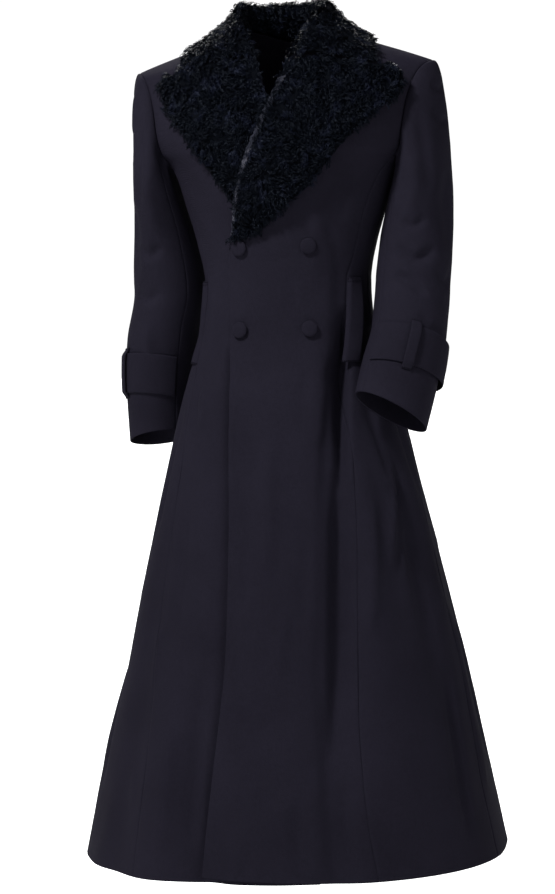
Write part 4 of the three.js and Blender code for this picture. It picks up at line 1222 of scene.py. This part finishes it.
# %% Collar body
COLLAR = table(
    "way foldX foldY foldZ edgeX edgeArc",
    (0, 0, 62, 46, 0, 40),
    (0.17, 36, 56, 46, 62, 45),
    (0.34, 64, 36, 45, 122, 55),
    (0.42, 72, 22, 43, 143, 67),
    (0.5, 77, 8, 41, 154, 90),
    (0.66, 74, -26, 27, 163, 74),
    (0.83, 56, -62, -16, 169, 62),
    (1, 33, -90, -54, 173, 52),
)


def collar_section(way):
    """Underside of the collar at one way round the neck: stand, fold and leaf."""
    side = -1 if way < 0 else 1
    along = abs(way)

    def get(column):
        return float(read(COLLAR, "way", along, column))

    fold = np.array([side * get("foldX"), get("foldY"), get("foldZ")])
    face = -1 if along > 0.5 else 1
    lie = 3.7 + 3 * ease((along - 0.7) / 0.1) if side > 0 else 3.7

    def rest(x, arc, lift):
        place, out = on_arch(x, arc, face)
        return place + out * np.asarray(lift)[..., None]

    edge = rest(side * get("edgeX"), get("edgeArc"), lie)
    t = along / 0.5 if along < 0.5 else (1 - along) / 0.5
    seam_x = mix(0, NECK_X - 4, t) if along < 0.5 else mix(GORGE_X - 2, NECK_X - 4, t)
    neck_arc = BACK_NECK_ARC if along < 0.5 else FRONT_NECK_ARC
    seam_arc = min(90, mix(neck_arc, 90, t**1.4) + 2.5)
    outwards = unit(np.array([edge[0] - fold[0], edge[1] - fold[1], 0]))
    stand = rest(side * seam_x, seam_arc, 0) - outwards * 2
    if along > 0.9:
        stand = mix(stand, fold, ease((along - 0.9) / 0.1) * 0.6)
    turn_in = fold - outwards * 5 + np.array([0, 0, -4])
    upper = (fold + stand) / 2 - outwards * 4
    w = np.array([0.14, 0.34, 0.56, 0.78, 1])
    arcs = mix(seam_arc, get("edgeArc"), w)
    resting = rest(side * mix(seam_x, get("edgeX"), w), arcs, lie + 14 * (1 - w) ** 2)
    leaf = mix(fold, resting, ease(w / 0.6)[:, None])
    return np.concatenate([[stand, upper, turn_in, fold], leaf])


def along_smooth(grid, count, axis):
    """The same grid with more rows or columns, on smooth curves through the given ones."""
    grid = np.moveaxis(grid, axis, 0)
    old = np.linspace(0, 1, len(grid))
    t = np.linspace(0, 1, count)
    i = np.clip(np.searchsorted(old, t) - 1, 0, len(grid) - 2)
    f = ((t - old[i]) / (old[1] - old[0]))[:, None, None]
    before, after = np.maximum(i - 1, 0), np.minimum(i + 2, len(grid) - 1)
    p0, p1, p2, p3 = grid[before], grid[i], grid[i + 1], grid[after]
    made = (2 * f**3 - 3 * f**2 + 1) * p1 + (f**3 - 2 * f**2 + f) * (p2 - p0) / 2
    made = made + (3 * f**2 - 2 * f**3) * p2 + (f**3 - f**2) * (p3 - p1) / 2
    return np.moveaxis(made, 0, axis)


def collar_grid(body, around=200, across=64):
    sections = np.stack([collar_section(way) for way in np.linspace(-1, 1, 57)])
    under = along_smooth(along_smooth(sections, across, 1), around, 0)
    normal = unit(np.cross(np.gradient(under, axis=0), np.gradient(under, axis=1)))
    if normal[around // 2, int(across * 0.75), 1] < 0:
        normal = -normal
    shares = np.array([0.3, 0.6, 0.9, 1, 1, 1, 1, 0.9, 0.4])
    thick = np.interp(np.linspace(0, 8, across), range(9), shares * body)
    ends = mix(0.45, 1, ease((1 - np.abs(np.linspace(-1, 1, around))) * 7))
    thickness = ends[:, None] * thick[None, :]
    return under + normal * thickness[..., None], under, normal


print("collar sections ready")

# %% [markdown]
# ## Fur
# The fur is a wavy pile, like a lamb's: matted tufts that lie in swirls, so dark that only their bent tops
# catch the light. Lighter patches in the fur's colour are painted glints that stand in for that light. It
# has two layers. The body underneath is lumpy and almost black. The tufts are grown on its outer face by a
# Geometry Nodes tree: points scattered over the face, a tuft of six narrow ribbons on each, laid along a slow
# noise so that neighbours flow together. A row of short tufts follows the fold of the upper lapel, coloured
# pale as a painted highlight where the pile parts and catches the light edge-on. A particle system would
# look alike, but can't be turned into a plain mesh so simply. A ribbon has four faces only, because there are
# thousands.

# %% Fur materials
def fur_material(name, colour, painted_glint_colour, roughness):
    material = bpy.data.materials.new(name)
    material.use_nodes = True
    tree = material.node_tree
    shader = tree.nodes["Principled BSDF"]
    place = node(tree, "ShaderNodeTexCoord").outputs["Object"]
    # Second colour: painted glints, mixed into the base colour in patches of noise in place of caught light.
    tone = node(tree, "ShaderNodeMix", data_type="RGBA")
    tone.inputs["A"].default_value = (*colour, 1)
    tone.inputs["B"].default_value = (*painted_glint_colour, 1)
    painted_glint_patches = node(tree, "ShaderNodeMapRange")
    painted_glint_patches.inputs["From Min"].default_value = 0.54
    painted_glint_patches.inputs["From Max"].default_value = 0.72
    tree.links.new(noise(tree, place, 44, 2), painted_glint_patches.inputs["Value"])
    painted_glints = sum_of(tree, "MULTIPLY", noise(tree, place, 150, 3, 0.6), painted_glint_patches.outputs[0])
    tree.links.new(painted_glints, tone.inputs["Factor"])
    tree.links.new(tone.outputs["Result"], shader.inputs["Base Color"])
    tree.links.new(between(tree, noise(tree, place, 300, 2), *roughness), shader.inputs["Roughness"])
    relief = node(tree, "ShaderNodeBump")
    relief.inputs["Strength"].default_value = 0.6
    relief.inputs["Distance"].default_value = 0.002
    tree.links.new(noise(tree, place, 420, 4, 0.65), relief.inputs["Height"])
    tree.links.new(relief.outputs["Normal"], shader.inputs["Normal"])
    shader.inputs["Specular IOR Level"].default_value = 0.06
    shader.inputs["Specular Tint"].default_value = (0.62, 0.74, 1.0, 1)
    return material


# The second colour of each fur is its painted glint: faint on the body, brighter on the locks.
fur_ground = fur_material("fur_ground", (0.0004, 0.0005, 0.0010), (0.0010, 0.0012, 0.0022), (0.8, 0.98))
fur_lock = fur_material("fur_lock", (0.0002, 0.0004, 0.0013), (0.0085, 0.0102, 0.0215), (0.3, 0.5))
# The rim's tufts are pale all over: a painted highlight along the fold of the upper lapel.
fur_rim_painted_highlight = fur_material("fur_rim_painted_highlight", (0.02, 0.021, 0.030), (0.20, 0.20, 0.24), (0.3, 0.5))
print("fur materials made")

# %% Tufts of fur
TUFT_LENGTH, TUFT_HEIGHT, TUFT_WIDTH, HAIR_HALF_WIDTH = 0.0145, 0.0056, 0.0065, 0.0007


def tuft_mesh(name, chance, hairs=6, steps=4):
    """Wavy ribbons that start side by side, lie along local X and close to a point."""
    points, faces = [], []
    for hair in range(hairs):
        apart = ((hair + 0.5) / hairs - 0.5) * TUFT_WIDTH
        long = TUFT_LENGTH * chance.uniform(0.7, 1.1)
        tall = TUFT_HEIGHT * chance.uniform(0.6, 1.1)
        wave, phase = chance.uniform(0.0008, 0.0018), chance.uniform(0, 2 * math.pi)
        tilt = chance.uniform(-0.75, 0.75)
        for i in range(steps + 1):
            t = i / steps
            sway = wave * (math.sin(phase + 7 * t) - math.sin(phase)) * min(1, 2 * t)
            x = long * t
            y = apart * (1 - 0.8 * t) + sway
            z = tall * math.sin(math.pi * 0.78 * t) - 0.0006
            half = HAIR_HALF_WIDTH * (1 - 0.7 * t * t)
            points.append((x, y - half * math.cos(tilt), z - half * math.sin(tilt)))
            points.append((x, y + half * math.cos(tilt), z + half * math.sin(tilt)))
            if i:
                a = len(points) - 2
                faces.append((a - 2, a, a + 1, a - 1))
    mesh = bpy.data.meshes.new(name)
    mesh.from_pydata(points, [], faces)
    mesh.polygons.foreach_set("use_smooth", [True] * len(faces))
    return mesh


tuft_kinds = bpy.data.collections.new("tuft_kinds")
for number in range(5):
    name = f"tuft_{number}"
    tuft_kinds.objects.link(bpy.data.objects.new(name, tuft_mesh(name, np.random.default_rng(300 + number))))

# %% Trees that place small meshes
def placing_tree(name, inputs):
    """A tree with named inputs, a Finish and a Geometry, and a function that ends it."""
    tree = bpy.data.node_groups.new(name, "GeometryNodeTree")
    tree.interface.new_socket("Geometry", in_out="INPUT", socket_type="NodeSocketGeometry")
    for label, kind, value in inputs:
        socket = tree.interface.new_socket(label, in_out="INPUT", socket_type="NodeSocket" + kind)
        if value is not None:
            socket.default_value = value
    tree.interface.new_socket("Finish", in_out="INPUT", socket_type="NodeSocketMaterial")
    tree.interface.new_socket("Geometry", in_out="OUTPUT", socket_type="NodeSocketGeometry")
    start, end = node(tree, "NodeGroupInput"), node(tree, "NodeGroupOutput")

    def finish(points, instance, rotation, scale, pick=False):
        """Instances on the points, made real, with the tree's material."""
        place = node(tree, "GeometryNodeInstanceOnPoints")
        place.inputs["Pick Instance"].default_value = pick
        sources = {"Points": points, "Instance": instance, "Rotation": rotation, "Scale": scale}
        for label, source in sources.items():
            tree.links.new(source, place.inputs[label])
        real = node(tree, "GeometryNodeRealizeInstances")
        dressed = node(tree, "GeometryNodeSetMaterial")
        tree.links.new(place.outputs[0], real.inputs[0])
        tree.links.new(real.outputs[0], dressed.inputs[0])
        tree.links.new(start.outputs["Finish"], dressed.inputs["Material"])
        tree.links.new(dressed.outputs[0], end.inputs[0])

    return tree, start.outputs, finish


def through_tree(name, tree, points, edges, faces, **values):
    """A mesh in millimetres put through a tree, as one plain mesh in metres."""
    source_mesh = bpy.data.meshes.new(name + "_source")
    source_mesh.from_pydata((points / 1000).tolist(), edges, faces)
    source = bpy.data.objects.new(name + "_source", source_mesh)
    bpy.context.scene.collection.objects.link(source)
    modifier = source.modifiers.new("tree", "NODES")
    modifier.node_group = tree
    for item in tree.interface.items_tree:
        if item.in_out == "INPUT" and item.name in values:
            modifier[item.identifier] = values[item.name]
    source.update_tag()
    bpy.context.view_layer.update()
    evaluated = source.evaluated_get(bpy.context.evaluated_depsgraph_get())
    made = bpy.data.meshes.new_from_object(evaluated)
    made.name = name
    piece = bpy.data.objects.new(name, made)
    bpy.context.scene.collection.objects.link(piece)
    bpy.data.objects.remove(source)
    print(name, len(made.polygons), "faces")
    return piece


# %% The pile's node tree
def pile_tree():
    tree, given, finish = placing_tree("grow_pile", [
        ("Spacing", "Float", 0.0024), ("Density", "Float", 200000.0), ("Smallest", "Float", 0.7),
        ("Largest", "Float", 1.2), ("Swirl", "Float", 26.0), ("Stray", "Float", 0.5),
        ("Comb", "Vector", (0.0, 0.0, -0.1)), ("Seed", "Int", 5), ("Kinds", "Collection", None),
    ])
    link = tree.links.new
    scatter = node(tree, "GeometryNodeDistributePointsOnFaces", distribute_method="POISSON")
    link(given["Geometry"], scatter.inputs["Mesh"])
    link(given["Spacing"], scatter.inputs["Distance Min"])
    link(given["Density"], scatter.inputs["Density Max"])
    link(given["Seed"], scatter.inputs["Seed"])
    stand = node(tree, "FunctionNodeAlignRotationToVector", axis="Z")
    link(scatter.outputs["Normal"], stand.inputs["Vector"])
    eddy = node(tree, "ShaderNodeTexNoise")
    eddy.inputs["Detail"].default_value = 1
    link(node(tree, "GeometryNodeInputPosition").outputs[0], eddy.inputs["Vector"])
    link(given["Swirl"], eddy.inputs["Scale"])
    centred = node(tree, "ShaderNodeVectorMath", operation="SUBTRACT")
    centred.inputs[1].default_value = (0.5, 0.5, 0.5)
    link(eddy.outputs["Color"], centred.inputs[0])
    flow = node(tree, "ShaderNodeVectorMath", operation="ADD")
    link(centred.outputs[0], flow.inputs[0])
    link(given["Comb"], flow.inputs[1])
    combed = node(tree, "FunctionNodeAlignRotationToVector", axis="X", pivot_axis="Z")
    link(stand.outputs["Rotation"], combed.inputs["Rotation"])
    link(flow.outputs[0], combed.inputs["Vector"])
    spin = node(tree, "FunctionNodeRandomValue", data_type="FLOAT")
    link(sum_of(tree, "MULTIPLY", given["Stray"], -1), spin.inputs[2])
    link(given["Stray"], spin.inputs[3])
    link(given["Seed"], spin.inputs["Seed"])
    about = node(tree, "ShaderNodeCombineXYZ")
    link(spin.outputs[1], about.inputs["Z"])
    turned = node(tree, "FunctionNodeRotateRotation", rotation_space="LOCAL")
    link(combed.outputs["Rotation"], turned.inputs["Rotation"])
    link(about.outputs[0], turned.inputs["Rotate By"])
    size = node(tree, "FunctionNodeRandomValue", data_type="FLOAT")
    link(given["Smallest"], size.inputs[2])
    link(given["Largest"], size.inputs[3])
    kinds = node(tree, "GeometryNodeCollectionInfo")
    kinds.inputs["Separate Children"].default_value = True
    kinds.inputs["Reset Children"].default_value = True
    link(given["Kinds"], kinds.inputs["Collection"])
    finish(scatter.outputs["Points"], kinds.outputs[0], turned.outputs[0], size.outputs[1], pick=True)
    return tree


pile = pile_tree()
print("pile tree with", len(pile.nodes), "nodes")

# %% Growing the pile
def grow(name, points, spacing, seed, comb=(0, 0, -0.1), smallest=0.65, largest=1.15, finish=fur_lock):
    """Tufts of fur on a sheet of points."""
    rows, columns = points.shape[:2]
    r, c = np.meshgrid(np.arange(rows - 1), np.arange(columns - 1), indexing="ij")
    at = (r * columns + c).ravel()
    faces = np.stack([at, at + 1, at + columns + 1, at + columns], axis=1).tolist()
    values = {"Spacing": spacing, "Density": 0.9 / spacing**2, "Smallest": smallest, "Largest": largest,
              "Comb": comb, "Seed": seed, "Kinds": tuft_kinds, "Finish": finish}
    return through_tree(name, pile, points.reshape(-1, 3), [], faces, **values)


def facing(points, out):
    """The grid turned so that its faces look along out."""
    normal = np.cross(np.gradient(points, axis=1), np.gradient(points, axis=0))
    return points[:, ::-1] if np.sum(normal * out) < 0 else points


def lumps(points, seed, height):
    """Small uneven clumps, as curls press on the fur behind them."""
    return swell(points, seed, height, 26) + swell(points, seed + 1, height * 0.6, 60)


print("helpers for the pile made")

# %% Fur pieces
FUR_BODY, COLLAR_BODY = 6.0, 6.5  # full thickness under the tufts
LAPEL_SPACING, COLLAR_SPACING, RIM_SPACING = 0.0031, 0.0036, 0.0013
fur_pieces = {}
for side, word in ((1, "left"), (-1, "right")):
    face, out, thickness = lapel_grid(side, FUR_BODY)
    face = face + out * (lumps(face, 71 + side, 1.5) * np.clip(thickness / 5 - 0.4, 0, 1))[..., None]
    normal = face_out(face, out)
    body = wall(f"fur_lapel_{word}", face, face - normal * (thickness + 0.2)[..., None], fur_ground)
    locks = grow(f"fur_lapel_{word}_locks", facing(face, out), LAPEL_SPACING, 17 + side)
    fur_pieces["lapel_" + word] = [body, locks]
    cut_size(face)
    if side > 0:
        # A row of pale tufts along the fold of the upper lapel, as a painted highlight where the pile catches the
        # light.
        fold, fold_out = face[10:-4, 0:4], out[10:-4, 0:4]
        row = facing(fold + fold_out * 0.9, fold_out)
        rim = grow("fur_lapel_left_rim", row, RIM_SPACING, 57, (-0.2, 0, -0.6), 0.32, 0.52, fur_rim_painted_highlight)
        fur_pieces["lapel_left"].append(rim)

face, under, out = collar_grid(COLLAR_BODY)
face = face + out * lumps(face, 81, 1.4)[..., None]
body = wall("fur_collar", face, under, fur_ground)
locks = grow("fur_collar_locks", facing(face, out), COLLAR_SPACING, 27)
fur_pieces["collar"] = [body, locks]
cut_size(under)
for name, group in fur_pieces.items():
    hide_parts(name)
print("faces of fur:", {name: sum(len(piece.data.polygons) for piece in fur_pieces[name]) for name in fur_pieces})

# %% [markdown]
# ## Buttons
# Four buttons covered with the coat's own wool, low domes that sit on thread shanks. A covered button has a
# soft shoulder where the cloth wraps round the shell, and the cloth is stretched smooth over the top. The
# shape is turned from a profile, as on a lathe, and stands square on the cloth.

# %% Covered buttons
BUTTONS = table(
    "name x z shank",
    ("upper_left", 59.5, -379, 0.7),
    ("upper_right", -59.5, -379, 1.2),
    ("lower_left", 59.5, -521, 2.1),
    ("lower_right", -59.5, -521, 2.1),
)
BUTTON_PROFILE = np.array(  # radius and height from the underside over the rim to the top
    [(0, 0), (9, 0.1), (12, 0.4), (13.3, 1.0), (14, 1.9), (14.05, 2.8), (13.6, 3.7), (12.6, 4.45),
     (11.2, 4.95), (9.2, 5.4), (6.8, 5.7), (4.2, 5.88), (1.8, 5.97), (0, 6.0)]
)


def lathe(name, profile, centre, normal, material, around=56):
    """A turned shape: its profile spun round its axis, closed at both poles."""
    lean = unit(np.cross(normal, [0, 0, 1]))
    rise = np.cross(lean, normal)
    points = [centre + normal * profile[0, 1]]
    for radius, height in profile[1:-1]:
        for i in range(around):
            a = 2 * math.pi * i / around
            points.append(centre + (lean * math.cos(a) + rise * math.sin(a)) * radius + normal * height)
    points.append(centre + normal * profile[-1, 1])
    loops, faces = len(profile) - 2, []
    for i in range(around):
        j = (i + 1) % around
        faces.append((0, 1 + i, 1 + j))
        for k in range(loops - 1):
            a, b = 1 + k * around, 1 + (k + 1) * around
            faces.append((a + j, a + i, b + i, b + j))
        a = 1 + (loops - 1) * around
        faces.append((a + j, a + i, len(points) - 1))
    mesh = bpy.data.meshes.new(name)
    mesh.from_pydata((np.array(points) / 1000).tolist(), [], faces)
    mesh.polygons.foreach_set("use_smooth", [True] * len(faces))
    mesh.materials.append(material)
    piece = bpy.data.objects.new(name, mesh)
    bpy.context.scene.collection.objects.link(piece)
    return piece


buttons = {}
for row in BUTTONS:
    place, out = on_front(np.array([float(row["x"])]), np.array([float(row["z"])]))
    base = over_lift(place[0, 0], place[0, 2]) + row["shank"]
    centre = place[0] + out[0] * base
    button = lathe("coat_button_" + row["name"], BUTTON_PROFILE, centre, out[0], button_wool)
    buttons["button_" + row["name"]] = button
    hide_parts("button_" + row["name"])
print(len(buttons), "buttons")

# %% [markdown]
# ## Stitches
# Two rows of stitches hold the upper end of each pocket and one its lower end, and each loop is sewn down
# above and below the strap. One tree lays a stitch on every step of a drawn line.

# %% Stitch tree
def stitch_tree():
    tree, given, finish = placing_tree("sew_stitches", [
        ("Step", "Float", 0.0032), ("Length", "Float", 0.0024), ("Thickness", "Float", 0.0012),
    ])
    line = node(tree, "GeometryNodeMeshToCurve")
    steps = node(tree, "GeometryNodeCurveToPoints", mode="LENGTH")
    tree.links.new(given["Geometry"], line.inputs["Mesh"])
    tree.links.new(line.outputs["Curve"], steps.inputs["Curve"])
    tree.links.new(given["Step"], steps.inputs["Length"])
    along = node(tree, "FunctionNodeAlignRotationToVector", axis="Z")
    tree.links.new(steps.outputs["Tangent"], along.inputs["Vector"])
    size = node(tree, "ShaderNodeCombineXYZ")
    for axis, label in (("X", "Thickness"), ("Y", "Thickness"), ("Z", "Length")):
        tree.links.new(given[label], size.inputs[axis])
    thread = node(tree, "GeometryNodeMeshUVSphere")
    for label, value in (("Segments", 6), ("Rings", 5), ("Radius", 0.5)):
        thread.inputs[label].default_value = value
    finish(steps.outputs["Points"], thread.outputs["Mesh"], along.outputs["Rotation"], size.outputs[0])
    return tree


stitching = stitch_tree()
print("stitch tree with", len(stitching.nodes), "nodes")

# %% Sewing
def sew(name, rows):
    """Stitches along each row of points."""
    starts = np.cumsum([0] + [len(row) for row in rows])
    edges = [(at, at + 1) for first, row in zip(starts, rows) for at in range(first, first + len(row) - 1)]
    return through_tree(name, stitching, np.concatenate(rows), edges, [], Finish=seam_thread)


stitches = {}
for strip_name, rows in SEWN.items():
    node_name = strip_name.removeprefix("coat_")
    stitches[node_name] = sew(f"stitches_{node_name}", rows)
print("stitched:", ", ".join(stitches))

# %% [markdown]
# ## Riding
# Every piece rides on the coat's one body.

# %% Ride
for piece in panels.values():
    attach(piece, "root")
for piece in stitches.values():
    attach(piece, "root")
for group in fur_pieces.values():
    for piece in group:
        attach(piece, "root")
for piece in buttons.values():
    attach(piece, "root")
print("every piece rides on the one body")

# %% [markdown]
# ## The cut
# Each cloth piece's width, length and area laid flat are worked out by cut_size as it is made. The width and
# the length are the longest ones along its grid, laid flat, and the area is that of the grid itself, because
# the pieces taper. The table lists what each hangs from or lies on, following the sewing: the fronts and the
# backs hang from the shoulders, the rest from them. The loop only looks up each piece and its lists.

# %% What each piece hangs from
HANGS = {
    "front_left": ("hung", ["back_left", "front_right"]),
    "front_right": ("hung", ["back_right"]),
    "back_left": ("hung", ["back_right"]),
    "back_right": ("hung", ["back_left"]),
    "side_left": ("hung", ["front_left", "back_left"]),
    "side_right": ("hung", ["front_right", "back_right"]),
}
for word in ("left", "right"):
    HANGS[f"sleeve_{word}_upper"] = ("hung", [f"front_{word}", f"back_{word}"])
    HANGS[f"sleeve_{word}_under"] = ("hung", [f"sleeve_{word}_upper", f"side_{word}"])
    HANGS[f"cuff_strap_{word}"] = ("laid", [f"sleeve_{word}_upper"])
    HANGS[f"cuff_loop_{word}"] = ("laid", [f"sleeve_{word}_upper", f"cuff_strap_{word}"])
    HANGS[f"pocket_welt_{word}"] = ("laid", [f"side_{word}"])
    HANGS[f"lapel_{word}"] = ("folded", [f"front_{word}"])
HANGS["collar"] = ("folded", ["back_left", "back_right"])
for name, (held, under) in HANGS.items():
    piece, *extra = [panels[name]] if name in panels else fur_pieces[name]
    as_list(under)
    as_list(extra)

# %% [markdown]
# ## Studio
# A pale floor that runs on for ever, and a white surround. One large soft light, like a window, comes from
# high on the wearer's right, so that shadows of the lapel, the buttons and the cuffs fall down to the other
# side. It stands near enough to fade towards the hem. Two suns, a weaker one from the left and one from
# behind, keep the sides and the back readable.

# %% Floor, surround and lights
def pale(name, value, glow):
    material = bpy.data.materials.new(name)
    material.use_nodes = True
    tree = material.node_tree
    shader = tree.nodes["Principled BSDF"]
    place = node(tree, "ShaderNodeTexCoord").outputs["Object"]
    shade = between(tree, noise(tree, place, 3, 2), value - 0.01, value + 0.01)
    mixed = node(tree, "ShaderNodeCombineColor")
    for socket in ("Red", "Green", "Blue"):
        tree.links.new(shade, mixed.inputs[socket])
    tree.links.new(mixed.outputs["Color"], shader.inputs["Base Color"])
    shader.inputs["Roughness"].default_value = 0.9
    shader.inputs["Emission Color"].default_value = (1, 1, 1, 1)
    direct = node(tree, "ShaderNodeLightPath").outputs["Is Camera Ray"]
    tree.links.new(between(tree, direct, glow, 1.0), shader.inputs["Emission Strength"])
    return material


FLOOR_LEVEL, FLOOR_HALF = -1.62, 60
corners = [(x * FLOOR_HALF, y * FLOOR_HALF, FLOOR_LEVEL) for x, y in ((-1, -1), (1, -1), (1, 1), (-1, 1))]
floor_mesh = bpy.data.meshes.new("floor")
floor_mesh.from_pydata(corners, [], [(0, 1, 2, 3)])
floor_mesh.materials.append(pale("floor_paper", 0.85, 0.25))
floor = bpy.data.objects.new("floor", floor_mesh)
bpy.context.scene.collection.objects.link(floor)

surround = bpy.data.worlds.new("surround")
surround.use_nodes = True
bpy.context.scene.world = surround
sky = surround.node_tree
backdrop = sky.nodes["Background"]
seen = node(sky, "ShaderNodeLightPath").outputs["Is Camera Ray"]
brightness = node(sky, "ShaderNodeMapRange")
brightness.inputs["To Min"].default_value = 0.2
brightness.inputs["To Max"].default_value = 1.05
sky.links.new(seen, brightness.inputs["Value"])
sky.links.new(brightness.outputs["Result"], backdrop.inputs["Strength"])
backdrop.inputs["Color"].default_value = (1, 1, 1, 1)
bpy.context.scene.view_settings.view_transform = "Standard"


CHEST_LEVEL = -0.25


def shine_from(name, light, azimuth, elevation, distance=0.0):
    """Puts up a light on a bearing round the coat (0 the front, 90 the wearer's left), aimed at the chest."""
    a, e = math.radians(azimuth), math.radians(elevation)
    z = np.array([math.sin(a) * math.cos(e), -math.cos(a) * math.cos(e), math.sin(e)])
    x = unit(np.cross([0.0, 0.0, 1.0], z))
    turned = np.eye(4)
    turned[:3, :3] = np.stack([x, np.cross(z, x), z], axis=1)
    turned[:3, 3] = z * distance + np.array([0, 0, CHEST_LEVEL])
    made = bpy.data.objects.new(name, light)
    bpy.context.scene.collection.objects.link(made)
    made.matrix_world = Matrix(turned.tolist())


def soft_light(name, azimuth, elevation, strength, angle):
    """A wide sun."""
    light = bpy.data.lights.new(name, "SUN")
    light.energy, light.angle = strength, math.radians(angle)
    shine_from(name, light, azimuth, elevation)


def window_light(name, azimuth, elevation, distance, power, size):
    """A square light that fades with distance."""
    light = bpy.data.lights.new(name, "AREA")
    light.energy, light.size = power, size
    shine_from(name, light, azimuth, elevation, distance)


window_light("key_light", -33, 46, 4.2, 300, 0.6)
soft_light("fill_light", 62, 24, 0.75, 50)
soft_light("back_light", 206, 42, 1.9, 16)
print("lights:", ", ".join(lamp.name for lamp in bpy.data.lights))
